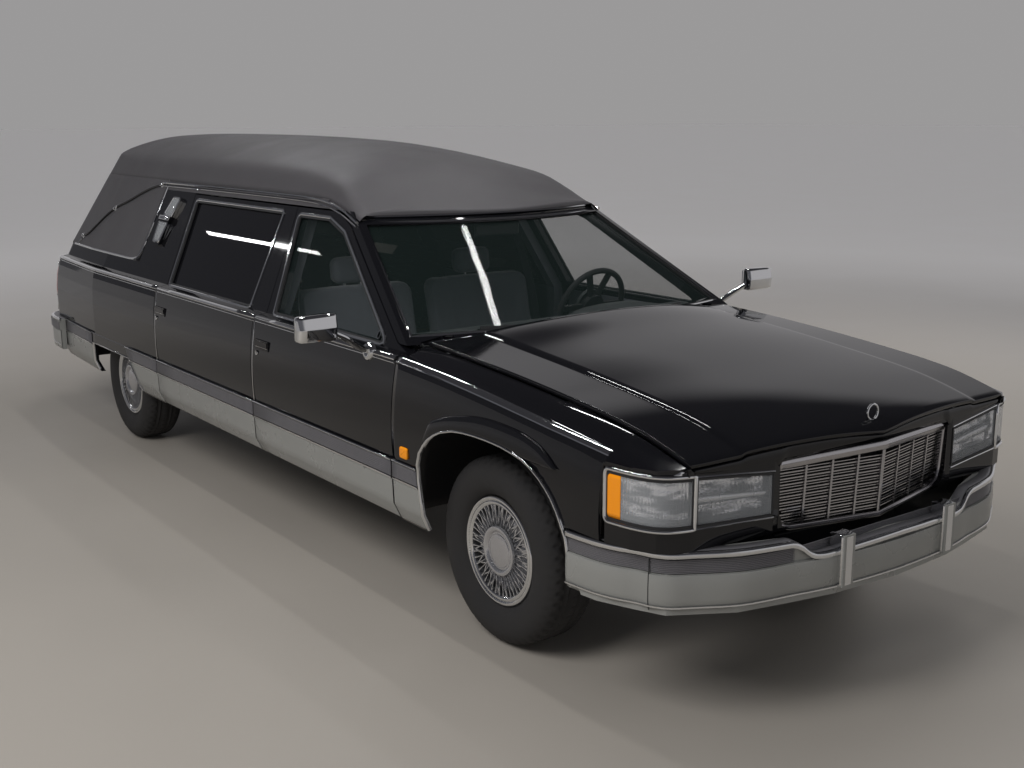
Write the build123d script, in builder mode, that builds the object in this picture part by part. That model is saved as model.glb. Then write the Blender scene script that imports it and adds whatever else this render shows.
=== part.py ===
"""A long-wheelbase hearse: body panels, glass, running gear and cabin as separate pieces.

Frame: millimetres, +Z up, +X to the car's left, the nose towards -Y. The origin is on the ground,
under the middle of the car. Lengths along the car are given as distances behind the front axle.
"""

import os
from math import cos, hypot, radians, sqrt, tan

from build123d import *

os.makedirs("parts", exist_ok=True)

# Overall sizes
OVERALL_LENGTH = 6424.0
FRONT_OVERHANG = 1100.0
WHEELBASE = 3792.0
TYRE_RADIUS = 356.0
FRONT_HALF_TRACK = 786.0
REAR_HALF_TRACK = 814.0
FRONT_AXLE_Y = FRONT_OVERHANG - OVERALL_LENGTH / 2

# Heights on the body side
SILL_Z = 350.0
CLADDING_Z = 420.0
STRIP_LOW_Z = 530.0
STRIP_TOP_Z = 598.0
FLANK_LOW_Z = 602.0
FLANK_Z = 790.0
BELT_Z = 1000.0
GLASS_BASE_Z = 1016.0
VINYL_BASE_Z = 1095.0
DRIP_Z = 1508.0
DRIP_RAIL_Z = 1541.0
SHOULDER_Z = 1682.0

# Half widths of the body side
SILL_HALF = 950.0
CLADDING_HALF = 980.0
BODY_HALF = 984.0
STRIP_HALF = 987.0
FLANK_LOW_HALF = 981.0
FLANK_HALF = 986.0
BELT_HALF = 962.0
GLASS_HALF = 903.0
TUMBLEHOME = 0.479

# Walls and gaps
DOOR_THICK = 80.0
FRAME_THICK = 42.0
WALL = 26.0
GLASS_THICK = 5.0
PANEL_GAP = 6.0
SEAT_GAP = 0.3
HINGE_Z = 500.0
PLUG_ANGLE = 20.0

# Door edges, behind the front axle
DOOR_1_FRONT = 544.0
DOOR_2_FRONT = 1820.0
DOOR_2_REAR = 3080.0
FRAME_TOP_Z = 1496.0
DOOR_FOOT_Z = 356.0


def aft(distance):
    """Place along the car, from a distance behind the front axle."""
    return FRONT_AXLE_Y + distance


def glass_half(z, inset=0.0):
    """Half width of the leaning upper body side at a height, less an inset square to it."""
    return GLASS_HALF - (z - GLASS_BASE_Z) * TUMBLEHOME - inset * sqrt(1 + TUMBLEHOME**2)


def station(distance):
    """Plane across the car: local x to the car's left, local y up, normal towards the nose."""
    return Plane.XZ.offset(-aft(distance))


def level(z):
    """Plane seen from above at a height."""
    return Plane.XY.offset(z)


def side_prism(points, low_x, high_x, corner=0.0):
    """Outline seen from the side, as (distance behind the front axle, height), through a width."""
    with BuildPart() as prism:
        with BuildSketch(Plane.YZ.offset(low_x)) as outline:
            with BuildLine():
                Polyline([(aft(d), z) for d, z in points], close=True)
            make_face()
            if corner:
                fillet(outline.vertices(), corner)
        extrude(amount=high_x - low_x)
    return prism.part


def plan_prism(points, low_z, high_z):
    """Outline seen from above, as (x, distance behind the front axle), through a height."""
    with BuildPart() as prism:
        with BuildSketch(level(low_z)):
            with BuildLine():
                Polyline([(x, aft(d)) for x, d in points], close=True)
            make_face()
        extrude(amount=high_z - low_z)
    return prism.part


def front_prism(points, front, rear, grow=0.0):
    """Outline seen from the front, as (x, height), between two distances behind the front axle."""
    with BuildPart() as prism:
        with BuildSketch(station(rear)):
            with BuildLine():
                Polyline(points, close=True)
            make_face()
            if grow:
                offset(amount=grow, kind=Kind.INTERSECTION)
        extrude(amount=rear - front)
    return prism.part


def grown(points, amount):
    """Line seen from above, from the side round to the middle, moved outwards square to itself."""
    moved = []
    for index, (x, d) in enumerate(points):
        before, after = points[max(index - 1, 0)], points[min(index + 1, len(points) - 1)]
        along = hypot(after[0] - before[0], after[1] - before[1])
        moved.append((x - amount * (after[1] - before[1]) / along, d + amount * (after[0] - before[0]) / along))
    return moved


def write(part, name):
    """Gives a finished piece its name and writes it."""
    part.label = name
    export_step(part, f"parts/{name}.step")


def solids_of(part):
    """One compound of a shape's solids, so that a node holds nothing loose."""
    return Compound(children=list(part.solids()))


def both_sides(part):
    """A piece and its mirror image across the car, in one node."""
    return Compound(children=list(part.solids()) + list(mirror(part, about=Plane.YZ).solids()))


def write_pair(part, name):
    """The piece as built on the car's left, and its mirror image on the right."""
    write(solids_of(part), f"{name}_left")
    write(solids_of(mirror(part, about=Plane.YZ)), f"{name}_right")


# Half width of the outer surface at each height: cladding, raised strip and foot of the flank.
# Above them the flank is one arc up to the belt.
LOWER_SIDE = [
    (SILL_HALF, SILL_Z),
    (CLADDING_HALF, CLADDING_Z),
    (BODY_HALF, STRIP_LOW_Z - 2),
    (STRIP_HALF, STRIP_LOW_Z),
    (STRIP_HALF, STRIP_TOP_Z),
    (FLANK_LOW_HALF, FLANK_LOW_Z),
]


def flank_half(z):
    """Half width of the flank at a height, on the parabola close to its arc."""
    low, high = FLANK_Z - FLANK_LOW_Z, BELT_Z - FLANK_Z
    if z < FLANK_Z:
        return FLANK_HALF - (FLANK_HALF - FLANK_LOW_HALF) * ((FLANK_Z - z) / low) ** 2
    return FLANK_HALF - (FLANK_HALF - BELT_HALF) * ((z - FLANK_Z) / high) ** 2


def surface_half(z):
    """Half width of the outer side surface at any height."""
    if z >= BELT_Z:
        return max(glass_half(z), BELT_HALF - (BELT_HALF - GLASS_HALF) * (z - BELT_Z) / (GLASS_BASE_Z - BELT_Z))
    if z >= FLANK_LOW_Z:
        return flank_half(z)
    for (low_half, low_z), (high_half, high_z) in zip(LOWER_SIDE, LOWER_SIDE[1:]):
        if z <= high_z:
            return low_half + (high_half - low_half) * (z - low_z) / (high_z - low_z)
    return flank_half(z)


# Door edges are cut by planes that lean in plan, so that a door swings clear of its neighbour
PLUG_HALF = 1020.0
PLUG_REACH = 480.0
PLUG_SLOPE = tan(radians(PLUG_ANGLE))


def plug(points, grow=0.0):
    """Solid behind an outline drawn on the outer surface, with its edges leaning forward inboard."""
    with BuildPart() as body:
        with BuildSketch(Plane.YZ.offset(PLUG_HALF)):
            with BuildLine():
                Polyline(
                    [(aft(d) + PLUG_SLOPE * (PLUG_HALF - surface_half(z)), z) for d, z in points],
                    close=True,
                )
            make_face()
            if grow:
                offset(amount=grow, kind=Kind.INTERSECTION)
        extrude(amount=PLUG_REACH / cos(radians(PLUG_ANGLE)), dir=(-1, -PLUG_SLOPE, 0))
    return body.part


# Outlines on the outer surface, as distance behind the front axle and height
FRONT_DOOR = [
    (DOOR_1_FRONT + 3, DOOR_FOOT_Z),
    (DOOR_1_FRONT + 3, 985.0),
    (DOOR_1_FRONT + 16, 1014.0),
    (650.0, 1040.0),
    (1372.0, 1450.0),
    (1500.0, FRAME_TOP_Z),
    (DOOR_2_FRONT - 3 + 88, FRAME_TOP_Z),
    (DOOR_2_FRONT - 3, GLASS_BASE_Z),
    (DOOR_2_FRONT - 3, DOOR_FOOT_Z),
]
REAR_DOOR = [
    (DOOR_2_FRONT + 3, DOOR_FOOT_Z),
    (DOOR_2_FRONT + 3, GLASS_BASE_Z),
    (DOOR_2_FRONT + 3 + 88, FRAME_TOP_Z),
    (DOOR_2_REAR - 3 + 88, FRAME_TOP_Z),
    (DOOR_2_REAR - 3, GLASS_BASE_Z),
    (DOOR_2_REAR - 3, DOOR_FOOT_Z),
]
FRONT_WINDOW = [(722.0, 1024.0), (1380.0, 1408.0), (1556.0, 1458.0), (1857.0, 1458.0), (1735.0, 1024.0)]
REAR_WINDOW = [(2010.0, 1024.0), (2032.0, 1462.0), (3110.0, 1462.0), (3040.0, 1024.0)]

# Roof and upper body: sections across the car, as distance behind the front axle,
# height of the shoulder where side meets top, and height of the crown
ROOF_SECTIONS = [
    (1130.0, 1452.0, 1478.0),
    (1330.0, 1500.0, 1568.0),
    (1450.0, 1560.0, 1626.0),
    (1600.0, 1622.0, 1684.0),
    (1850.0, 1660.0, 1744.0),
    (2200.0, 1676.0, 1784.0),
    (2700.0, SHOULDER_Z, 1804.0),
    (3700.0, SHOULDER_Z, 1814.0),
    (4500.0, SHOULDER_Z, 1808.0),
    (5300.0, 1676.0, 1780.0),
]
SHOULDER_ROUND = 62.0
ROOF_WALL = 60.0


def upper_body(inset):
    """The upper body as one solid, drawn in from its outer surface by an inset."""
    with BuildPart() as body:
        for distance, shoulder_z, crown_z in ROOF_SECTIONS:
            rise = crown_z - shoulder_z
            blend = min(SHOULDER_ROUND, rise * 0.9)
            low = (glass_half(shoulder_z - blend, inset), shoulder_z - blend)
            high = (glass_half(shoulder_z, inset) - blend * 0.95, shoulder_z + rise * 0.1 - inset)
            middle = (glass_half(shoulder_z, inset) - blend * 0.24, shoulder_z - blend * 0.22 - inset * 0.75)
            base = (glass_half(GLASS_BASE_Z, inset), GLASS_BASE_Z)
            with BuildSketch(station(distance)):
                with BuildLine():
                    Line((-base[0], base[1]), base)
                    Line(base, low)
                    Line(low, high)
                    ThreePointArc(high, (0, crown_z - inset), (-high[0], high[1]))
                    Line((-high[0], high[1]), (-low[0], low[1]))
                    Line((-low[0], low[1]), (-base[0], base[1]))
                make_face()
        loft(ruled=True)
    return body.part


# Rear body: outlines seen from above, as height, half width along the side, half width
# where the corner starts, distance of the corner and of the middle behind the front axle, radius
REAR_FRONT = 3000.0
TAPER_FRONT = 4150.0
REAR_ROWS = [
    (SILL_Z, SILL_HALF, 905.0, 5050.0, 5080.0, 120.0),
    (CLADDING_Z, CLADDING_HALF, 936.0, 5090.0, 5130.0, 120.0),
    (STRIP_LOW_Z - 2, BODY_HALF, 940.0, 5106.0, 5146.0, 120.0),
    (STRIP_LOW_Z, STRIP_HALF, 943.0, 5109.0, 5149.0, 120.0),
    (STRIP_TOP_Z, STRIP_HALF, 943.0, 5123.0, 5163.0, 120.0),
    (FLANK_LOW_Z, FLANK_LOW_HALF, 937.0, 5119.0, 5159.0, 120.0),
    (700.0, flank_half(700.0), 938.0, 5125.0, 5166.0, 121.0),
    (FLANK_Z, FLANK_HALF, 937.0, 5126.0, 5168.0, 122.0),
    (880.0, flank_half(880.0), 929.0, 5121.0, 5165.0, 123.0),
    (950.0, flank_half(950.0), 915.0, 5115.0, 5160.0, 125.0),
    (BELT_Z, BELT_HALF, 902.0, 5110.0, 5156.0, 126.0),
    (GLASS_BASE_Z, GLASS_HALF, 856.0, 5090.0, 5142.0, 128.0),
    (VINYL_BASE_Z, glass_half(VINYL_BASE_Z), 826.0, 5062.0, 5120.0, 130.0),
]
UPPER_ROWS = [
    (GLASS_BASE_Z, GLASS_HALF + 20, 856.0, 5090.0, 5142.0, 128.0),
    (VINYL_BASE_Z, glass_half(VINYL_BASE_Z) + 20, 826.0, 5062.0, 5120.0, 130.0),
    (1880.0, glass_half(1880.0) + 20, 455.0, 4672.0, 4730.0, 110.0),
]
TAIL_WALL = 50.0


def rear_body(rows, inset):
    """The rear body between heights as one solid, drawn in from its outer surface by an inset."""
    with BuildPart() as body:
        for z, side, corner, corner_y, middle_y, radius in rows:
            side, corner = side - inset, corner - inset
            with BuildSketch(level(z)) as outline:
                with BuildLine():
                    Polyline(
                        (-corner, aft(corner_y - inset)),
                        (-side, aft(TAPER_FRONT)),
                        (-side, aft(REAR_FRONT)),
                        (side, aft(REAR_FRONT)),
                        (side, aft(TAPER_FRONT)),
                        (corner, aft(corner_y - inset)),
                    )
                    ThreePointArc(
                        (corner, aft(corner_y - inset)),
                        (0, aft(middle_y - inset)),
                        (-corner, aft(corner_y - inset)),
                    )
                make_face()
                fillet(outline.vertices().group_by(Axis.Y)[-1], radius - inset)
        loft(ruled=True)
    return body.part


def box(low_x, high_x, front, rear, low_z, high_z):
    """Block between two half widths, two distances behind the front axle and two heights."""
    with BuildPart() as block:
        with Locations(((low_x + high_x) / 2, aft((front + rear) / 2), (low_z + high_z) / 2)):
            Box(high_x - low_x, rear - front, high_z - low_z)
    return block.part


upper_outer = upper_body(0)
tail_outer = rear_body(UPPER_ROWS, 0)
tail_inner = rear_body(UPPER_ROWS, TAIL_WALL)
cap_outer = upper_outer & (tail_outer + box(-950, 950, 1000, 3200, 1016, 1880))
cap_inner = upper_body(ROOF_WALL) & (tail_inner + box(-950, 950, 1000, 3200, 1016, 1880))
cap_shell = cap_outer - cap_inner
lower_shell = rear_body(REAR_ROWS, 0) - rear_body(REAR_ROWS, WALL)
lower_thick = rear_body(REAR_ROWS, 0) - rear_body(REAR_ROWS, TAIL_WALL)

front_door_hole = plug(FRONT_DOOR, PANEL_GAP)
rear_door_hole = plug(REAR_DOOR, PANEL_GAP)
door_holes = both_sides(front_door_hole) + both_sides(rear_door_hole)

# Tail door: an outline seen from behind whose sides narrow towards the front
TAIL_DOOR_HALF = 575.0
TAIL_DOOR_LOW = 622.0
TAIL_DOOR_TOP = 1610.0
TAIL_DOOR_BACK = 5180.0
TAIL_DOOR_FRONT = 4640.0
TAIL_DOOR_SLOPE = 0.33
TAIL_HINGE_X = 570.0
TAIL_HINGE_Y = 5166.0


def tail_plug(grow):
    """Block behind the tail door, wider at the back so that the door swings clear."""
    with BuildPart() as block:
        for distance in (TAIL_DOOR_FRONT, TAIL_DOOR_BACK):
            half = TAIL_DOOR_HALF + grow - TAIL_DOOR_SLOPE * (TAIL_DOOR_BACK - distance)
            with BuildSketch(station(distance)):
                with BuildLine():
                    Polyline(
                        (-half, TAIL_DOOR_LOW - grow),
                        (half, TAIL_DOOR_LOW - grow),
                        (half, TAIL_DOOR_TOP + grow),
                        (-half, TAIL_DOOR_TOP + grow),
                        close=True,
                    )
                make_face()
        loft(ruled=True)
    return block.part


tail_hole = tail_plug(PANEL_GAP)

# Roof with its covered rear quarters
LAMP_PANEL_REAR = 3610.0
ROOF_BASE = DRIP_Z - 4
roof = (
    cap_shell
    - box(-950, 950, 900, LAMP_PANEL_REAR, 900, ROOF_BASE)
    - box(-950, 950, LAMP_PANEL_REAR - 1, 5400, 900, VINYL_BASE_Z)
    - door_holes
    - tail_hole
    - plan_prism([(-1000, 900), (1000, 900), (1000, 1400), (720, 1322), (0, 1165), (-720, 1322), (-1000, 1400)], 1400, 1700)
)
DRIP_REAR = 3662.0
RAIL_OUT = 7.0
rail_band = box(-1000, 1000, 1620, DRIP_REAR, DRIP_RAIL_Z - 7, DRIP_RAIL_Z + 5)
drip_rail = (upper_body(-RAIL_OUT) & rail_band) - upper_body(4)
roof_top = (roof & box(-1000, 1000, 900, 5400, ROOF_BASE, 1900)) + drip_rail
write(solids_of(roof_top), "roof")
write(both_sides(roof & box(1, 1000, 900, 5400, VINYL_BASE_Z, ROOF_BASE)), "roof_quarters")

lamp_panel = (cap_shell & box(600, 950, 3000, LAMP_PANEL_REAR, VINYL_BASE_Z, ROOF_BASE)) - rear_door_hole
# Coach lamp, seen from the side: lantern, collar and tall lens, as (distance, height) corners and depth
COACH_LAMP = [
    ([(3303, 1462), (3409, 1462), (3462, 1356), (3340, 1350)], 18.0),
    ([(3336, 1354), (3496, 1354), (3494, 1334), (3344, 1332)], 26.0),
    ([(3350, 1336), (3490, 1336), (3468, 1208), (3374, 1208)], 20.0),
]
for corners, depth in COACH_LAMP:
    lamp_panel = lamp_panel + (side_prism(corners, 500, 1000) & (upper_body(-depth) - upper_body(8)))
write(both_sides(lamp_panel), "coach_lamp_panels")

# Rear wheel opening, and the lower quarter panels
REAR_ARCH = [
    (3400.0, 300.0),
    (3436.0, 426.0),
    (3507.0, 486.0),
    (3549.0, 540.0),
    (4206.0, 540.0),
    (4212.0, 420.0),
    (4180.0, 300.0),
]
TAIL_LAMP_LOW, TAIL_LAMP_TOP = 640.0, 965.0
tail_lamp = box(846, 1000, 5050, 5300, TAIL_LAMP_LOW, TAIL_LAMP_TOP)
rear_arch = side_prism(REAR_ARCH, 700, 1100)
quarter = (
    (lower_shell & box(1, 1100, 3000, 5300, SILL_Z, VINYL_BASE_Z - SEAT_GAP))
    - rear_door_hole
    - box(0, TAIL_DOOR_HALF + PANEL_GAP, 4900, 5300, 300, TAIL_DOOR_LOW)
    - tail_hole
    - rear_arch
    - tail_lamp
)
TAIL_SILL_HALF = TAIL_DOOR_HALF + PANEL_GAP - SEAT_GAP
tail_sill = lower_shell & box(-TAIL_SILL_HALF, TAIL_SILL_HALF, 4900, 5300, CLADDING_Z, TAIL_DOOR_LOW - PANEL_GAP)
sill_mount = box(420, 470, 5090 + SEAT_GAP, 5112, 480, 540)
tail_sill = tail_sill + sill_mount + mirror(sill_mount, about=Plane.YZ)
write(solids_of(tail_sill), "tail_sill")

tail_block = tail_plug(0)
tail_skin = (lower_thick & box(-700, 700, 4900, 5300, 300, VINYL_BASE_Z)) + (
    (cap_shell & box(-700, 700, 4500, 5300, VINYL_BASE_Z, 1700))
)
with BuildPart() as tail_opening:
    with BuildSketch(station(5300)) as pane_outline:
        with BuildLine():
            Polyline((-330, 1140), (330, 1140), (292, 1500), (-292, 1500), close=True)
        make_face()
        fillet(pane_outline.vertices(), 40)
    extrude(amount=900)
tail_door = (tail_skin & tail_block) - tail_opening.part


def tail_hinges(low_x, high_x, low_z):
    """Upright barrels at the tail door's edge, each on a leaf."""
    with BuildPart() as hinges:
        for z in (660.0, 880.0):
            with Locations((TAIL_HINGE_X, aft(TAIL_HINGE_Y), z + low_z + 15)):
                Cylinder(9, 30)
            with Locations(((low_x + high_x) / 2, aft(TAIL_HINGE_Y - 14), z + low_z + 15)):
                Box(high_x - low_x, 28, 30)
    return hinges.part


tail_door = tail_door + tail_hinges(TAIL_HINGE_X - 34, TAIL_HINGE_X - 6, 0)
write(solids_of(tail_door), "tail_door")
quarter_left = quarter + tail_hinges(TAIL_HINGE_X + 6, TAIL_HINGE_X + 34, 30 + SEAT_GAP)
write(Compound(children=list(quarter_left.solids()) + list(mirror(quarter, about=Plane.YZ).solids())), "quarter_panels")
tail_pane = ((upper_outer & tail_outer) - rear_body(UPPER_ROWS, 8)) & tail_opening.part
write(solids_of(tail_pane & box(-700, 700, 4500, 5300, 1100, 1600)), "tail_glass")


def door_wall():
    """Section of a side door, run the whole length of the cabin."""
    outer = [(surface_half(DOOR_FOOT_Z), DOOR_FOOT_Z)] + LOWER_SIDE[1:]
    top = (glass_half(FRAME_TOP_Z), FRAME_TOP_Z)
    inner = [
        (glass_half(FRAME_TOP_Z, FRAME_THICK), FRAME_TOP_Z),
        (glass_half(1030.0, FRAME_THICK), 1030.0),
        (BODY_HALF - DOOR_THICK - 12, 1000.0),
        (BODY_HALF - DOOR_THICK - 12, DOOR_FOOT_Z),
    ]
    with BuildPart() as wall:
        with BuildSketch(station(400)):
            with BuildLine():
                Polyline(outer)
                ThreePointArc(outer[-1], (FLANK_HALF, FLANK_Z), (BELT_HALF, BELT_Z))
                Polyline([(BELT_HALF, BELT_Z), (GLASS_HALF, GLASS_BASE_Z), top] + inner + outer[:1])
            make_face()
        extrude(amount=-2900)
    return wall.part


def pane_slab():
    """Leaning sheet that every side window is cut from."""
    inset = 12.0
    with BuildPart() as slab:
        with BuildSketch(station(400)):
            with BuildLine():
                Polyline(
                    (glass_half(1020.0, inset), 1020.0),
                    (glass_half(1480.0, inset), 1480.0),
                    (glass_half(1480.0, inset + GLASS_THICK), 1480.0),
                    (glass_half(1020.0, inset + GLASS_THICK), 1020.0),
                    close=True,
                )
            make_face()
        extrude(amount=-2900)
    return slab.part


HANDLE_Z = 884.0


def door_handle(middle):
    """Flap handle with its raised surround and the key lock under it."""
    with BuildPart() as handle:
        with BuildSketch(Plane.YZ.offset(960)):
            with Locations((aft(middle), HANDLE_Z)):
                RectangleRounded(140, 46, 6)
        extrude(amount=25)
        with BuildSketch(Plane.YZ.offset(960)):
            with Locations((aft(middle), HANDLE_Z + 4)):
                RectangleRounded(124, 26, 4)
        extrude(amount=28)
        with Locations(Location((976, aft(middle + 52), HANDLE_Z - 42), (0, 90, 0))):
            Cylinder(10, 26)
    return handle.part


wall = door_wall()
panes = pane_slab()
# Name, outline, window and place of the handle along the car
for name, outline, window, handle_middle in (
    ("front", FRONT_DOOR, FRONT_WINDOW, 1720.0),
    ("rear", REAR_DOOR, REAR_WINDOW, 3007.0),
):
    opening = side_prism(window, 500, 1100, 18)
    hinge_leaf = box(864, 896, outline[0][0] + 16, outline[0][0] + 50, HINGE_Z, HINGE_Z + 10)
    door = (wall & plug(outline)) - opening + hinge_leaf + door_handle(handle_middle)
    write_pair(door, f"door_{name}")
    write_pair(panes & opening, f"door_glass_{name}")

# Front fenders: sections as distance, half width, belt height, height at the hood gap
HOOD_HALF = 820.0
FENDER_WALL = 30.0
ARCH_WALL = 18.0
FENDER_SECTIONS = [
    (541.0, 986.0, 1008.0, 1036.0),
    (100.0, 986.0, 986.0, 1012.0),
    (-350.0, 982.0, 944.0, 972.0),
    (-690.0, 962.0, 903.0, 930.0),
]
FRONT_ARCH = [
    (338.0, 300.0),
    (342.0, 430.0),
    (366.0, 575.0),
    (342.0, 672.0),
    (280.0, 737.0),
    (194.0, 783.0),
    (118.0, 803.0),
    (-15.0, 814.0),
    (-177.0, 810.0),
    (-297.0, 790.0),
    (-392.0, 746.0),
    (-453.0, 692.0),
    (-494.0, 624.0),
    (-524.0, 548.0),
    (-560.0, 457.0),
    (-640.0, 300.0),
]
ARCH_FLARE = [
    (326.0, 725.0),
    (289.0, 791.0),
    (213.0, 833.0),
    (120.0, 860.0),
    (-38.0, 886.0),
    (-187.0, 887.0),
    (-301.0, 875.0),
    (-409.0, 840.0),
    (-468.0, 799.0),
    (-462.0, 720.0),
    (-200.0, 650.0),
    (200.0, 650.0),
]
FLARE_OUT = 5.0


def fender_solid(swell):
    """A front fender from the door to the nose, its outer side moved out by a swell."""
    with BuildPart() as fender:
        for distance, half, belt, gap in FENDER_SECTIONS:
            half = half + swell
            out = half - FLANK_HALF
            belt_low = (half - 24, belt - 8)
            with BuildSketch(station(distance)):
                with BuildLine():
                    Polyline([(x + out, z) for x, z in LOWER_SIDE])
                    ThreePointArc((FLANK_LOW_HALF + out, FLANK_LOW_Z), (half, (FLANK_LOW_Z + belt) / 2), belt_low)
                    Polyline(
                        belt_low,
                        (half - 60, belt + 8),
                        (HOOD_HALF + 3, gap),
                        (HOOD_HALF + 3, gap - 78),
                        (HOOD_HALF + 16, gap - 78),
                        (HOOD_HALF + 16, gap - FENDER_WALL),
                        (half - 60 - FENDER_WALL, belt - 26),
                        (half - ARCH_WALL, FLANK_Z),
                        (half - ARCH_WALL - 4, CLADDING_Z),
                        (half - 40 - ARCH_WALL, SILL_Z),
                        (SILL_HALF + out, SILL_Z),
                    )
                make_face()
        loft(ruled=True)
    return fender.part


front_arch = side_prism(FRONT_ARCH, 700, 1100)
bumper_room = box(880, 1100, -1000, -470, 300, STRIP_TOP_Z + 7)
arch_flare = fender_solid(FLARE_OUT) & side_prism(ARCH_FLARE, 900, 1100)
fender = fender_solid(0) + arch_flare - front_arch - front_door_hole - bumper_room
write(both_sides(fender), "front_fenders")

# Hood
HOOD_REAR = 545.0
HOOD_REAR_MIDDLE = 400.0
# Distance, half width, height of the edge and of the crown, wall, rise of the middle panel
HOOD_SECTIONS = [
    (HOOD_REAR, 817.0, 1036.0, 1104.0, 22.0, 6.0),
    (-126.0, 817.0, 998.0, 1028.0, 22.0, 7.0),
    (-690.0, 817.0, 930.0, 950.0, 22.0, 7.0),
    (-930.0, 815.0, 878.0, 892.0, 14.0, 4.0),
    (-1010.0, 812.0, 870.0, 877.0, 12.0, 3.0),
]
HOOD_CREASE_X = 600.0
with BuildPart() as hood:
    for distance, half, edge_z, crown_z, hood_wall, rise in HOOD_SECTIONS:
        foot = (HOOD_CREASE_X + 6, max(edge_z + 1, crown_z - (crown_z - edge_z) * 0.54 - rise))
        top = (HOOD_CREASE_X - 6, foot[1] + rise)
        with BuildSketch(station(distance)):
            with BuildLine():
                Polyline((half, edge_z - hood_wall), (half, edge_z), foot, top)
                ThreePointArc(top, (0, crown_z), (-top[0], top[1]))
                Polyline((-top[0], top[1]), (-foot[0], foot[1]), (-half, edge_z), (-half, edge_z - hood_wall))
                ThreePointArc((-half, edge_z - hood_wall), (0, crown_z - hood_wall), (half, edge_z - hood_wall))
            make_face()
    loft(ruled=True)
HOOD_FRONT_EDGE = [(-830, -910), (-793, -916), (-472, -942), (0, -996), (472, -942), (793, -916), (830, -910)]
with BuildPart() as hood_plan:
    with BuildSketch(level(700)):
        with BuildLine():
            ThreePointArc((830, aft(HOOD_REAR)), (0, aft(HOOD_REAR_MIDDLE)), (-830, aft(HOOD_REAR)))
            Polyline([(-830, aft(HOOD_REAR))] + [(x, aft(d)) for x, d in HOOD_FRONT_EDGE] + [(830, aft(HOOD_REAR))])
        make_face()
    extrude(amount=500)
HOOD_HINGE_Y = 556.0
HOOD_HINGE_Z = 1018.0
HOOD_ARM_X = 690.0
hood_arm = side_prism(
    [(HOOD_HINGE_Y - 66, HOOD_HINGE_Z + 36), (HOOD_HINGE_Y - 46, HOOD_HINGE_Z + 36), (HOOD_HINGE_Y - 26, HOOD_HINGE_Z + 14), (HOOD_HINGE_Y + 14, HOOD_HINGE_Z + 8),
     (HOOD_HINGE_Y + 14, HOOD_HINGE_Z - 12), (HOOD_HINGE_Y - 14, HOOD_HINGE_Z - 12)],
    HOOD_ARM_X, HOOD_ARM_X + 12,
)
ORNAMENT_Y = -953.0
with BuildPart() as ornament:
    with Locations((0, aft(ORNAMENT_Y), 886)):
        Cylinder(16, 14)
    with Locations((0, aft(ORNAMENT_Y), 898)):
        Box(9, 9, 30)
    with BuildSketch(station(ORNAMENT_Y + 4)):
        with Locations((0, 938)):
            Circle(31)
            Circle(23, mode=Mode.SUBTRACT)
    extrude(amount=8)
hood_lid = (hood.part & hood_plan.part) + hood_arm + mirror(hood_arm, about=Plane.YZ) + ornament.part
write(solids_of(hood_lid), "hood")

# Nose panel, lamps and grille
NOSE_LOW, NOSE_TOP = 606.0, 858.0
NOSE_LINE = [(957.0, -690.3), (941.0, -792.0), (905.0, -870.0), (850.0, -905.0), (793.0, -920.0), (472.0, -950.0)]
NOSE_BACK = [(0.0, -960.0), (446.0, -890.0), (760.0, -850.0), (860.0, -800.0), (880.0, -690.3)]
LAMP_FACE = [(472.0, 666.0), (789.0, 682.0), (970.0, 685.0), (970.0, 845.0), (795.0, 840.0), (472.0, 809.0)]
LAMP_DEPTH = 55.0
BEZEL_OUT = 4.0
GRILLE_FACE = [(0, 591), (370, 600), (425, 622), (441, 665), (445, 837), (0, 853), (-445, 837), (-441, 665), (-425, 622), (-370, 600)]
GRILLE_HOLE = [(0, 603), (366, 612), (414, 631), (430, 668), (434, 805), (0, 821), (-434, 805), (-430, 668), (-414, 631), (-366, 612)]

with BuildPart() as nose_top:
    for distance, belt, gap in ((-690.3, 903.0, 930.0), (-960.0, 842.0, 864.0)):
        with BuildSketch(station(distance)):
            with BuildLine():
                Polyline([(0, 600), (970, 600), (962, belt - 40), (938, belt - 8), (902, belt + 8), (HOOD_HALF + 3, gap), (HOOD_HALF + 3, NOSE_TOP), (0, NOSE_TOP)], close=True)
            make_face()
    loft(ruled=True)
nose = plan_prism(NOSE_LINE + [(446, -948), (0, -985)] + NOSE_BACK, NOSE_LOW, 940) & (nose_top.part + box(0, 970, -1000, -960, NOSE_LOW, NOSE_TOP))
lamp_face = front_prism(LAMP_FACE, -1100, -600)
lamp = plan_prism(NOSE_LINE + grown(NOSE_LINE, -LAMP_DEPTH)[::-1], 600, 900) & lamp_face
bezel_band = plan_prism(grown(NOSE_LINE, BEZEL_OUT) + grown(NOSE_LINE, -8)[::-1], 600, 900)
bezel = bezel_band & (lamp_face - front_prism(LAMP_FACE, -1100, -600, -8))
lamp_seam = box(790, 794, -960, -912, 600, 900)
nose_beam = plan_prism([(447, -905), (0, -983), (0, -958), (447, -880)], 820, NOSE_TOP)
nose_panel = nose - lamp_face - front_prism(GRILLE_FACE, -1100, -800, SEAT_GAP) + (nose & lamp_face - lamp) + nose_beam
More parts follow.
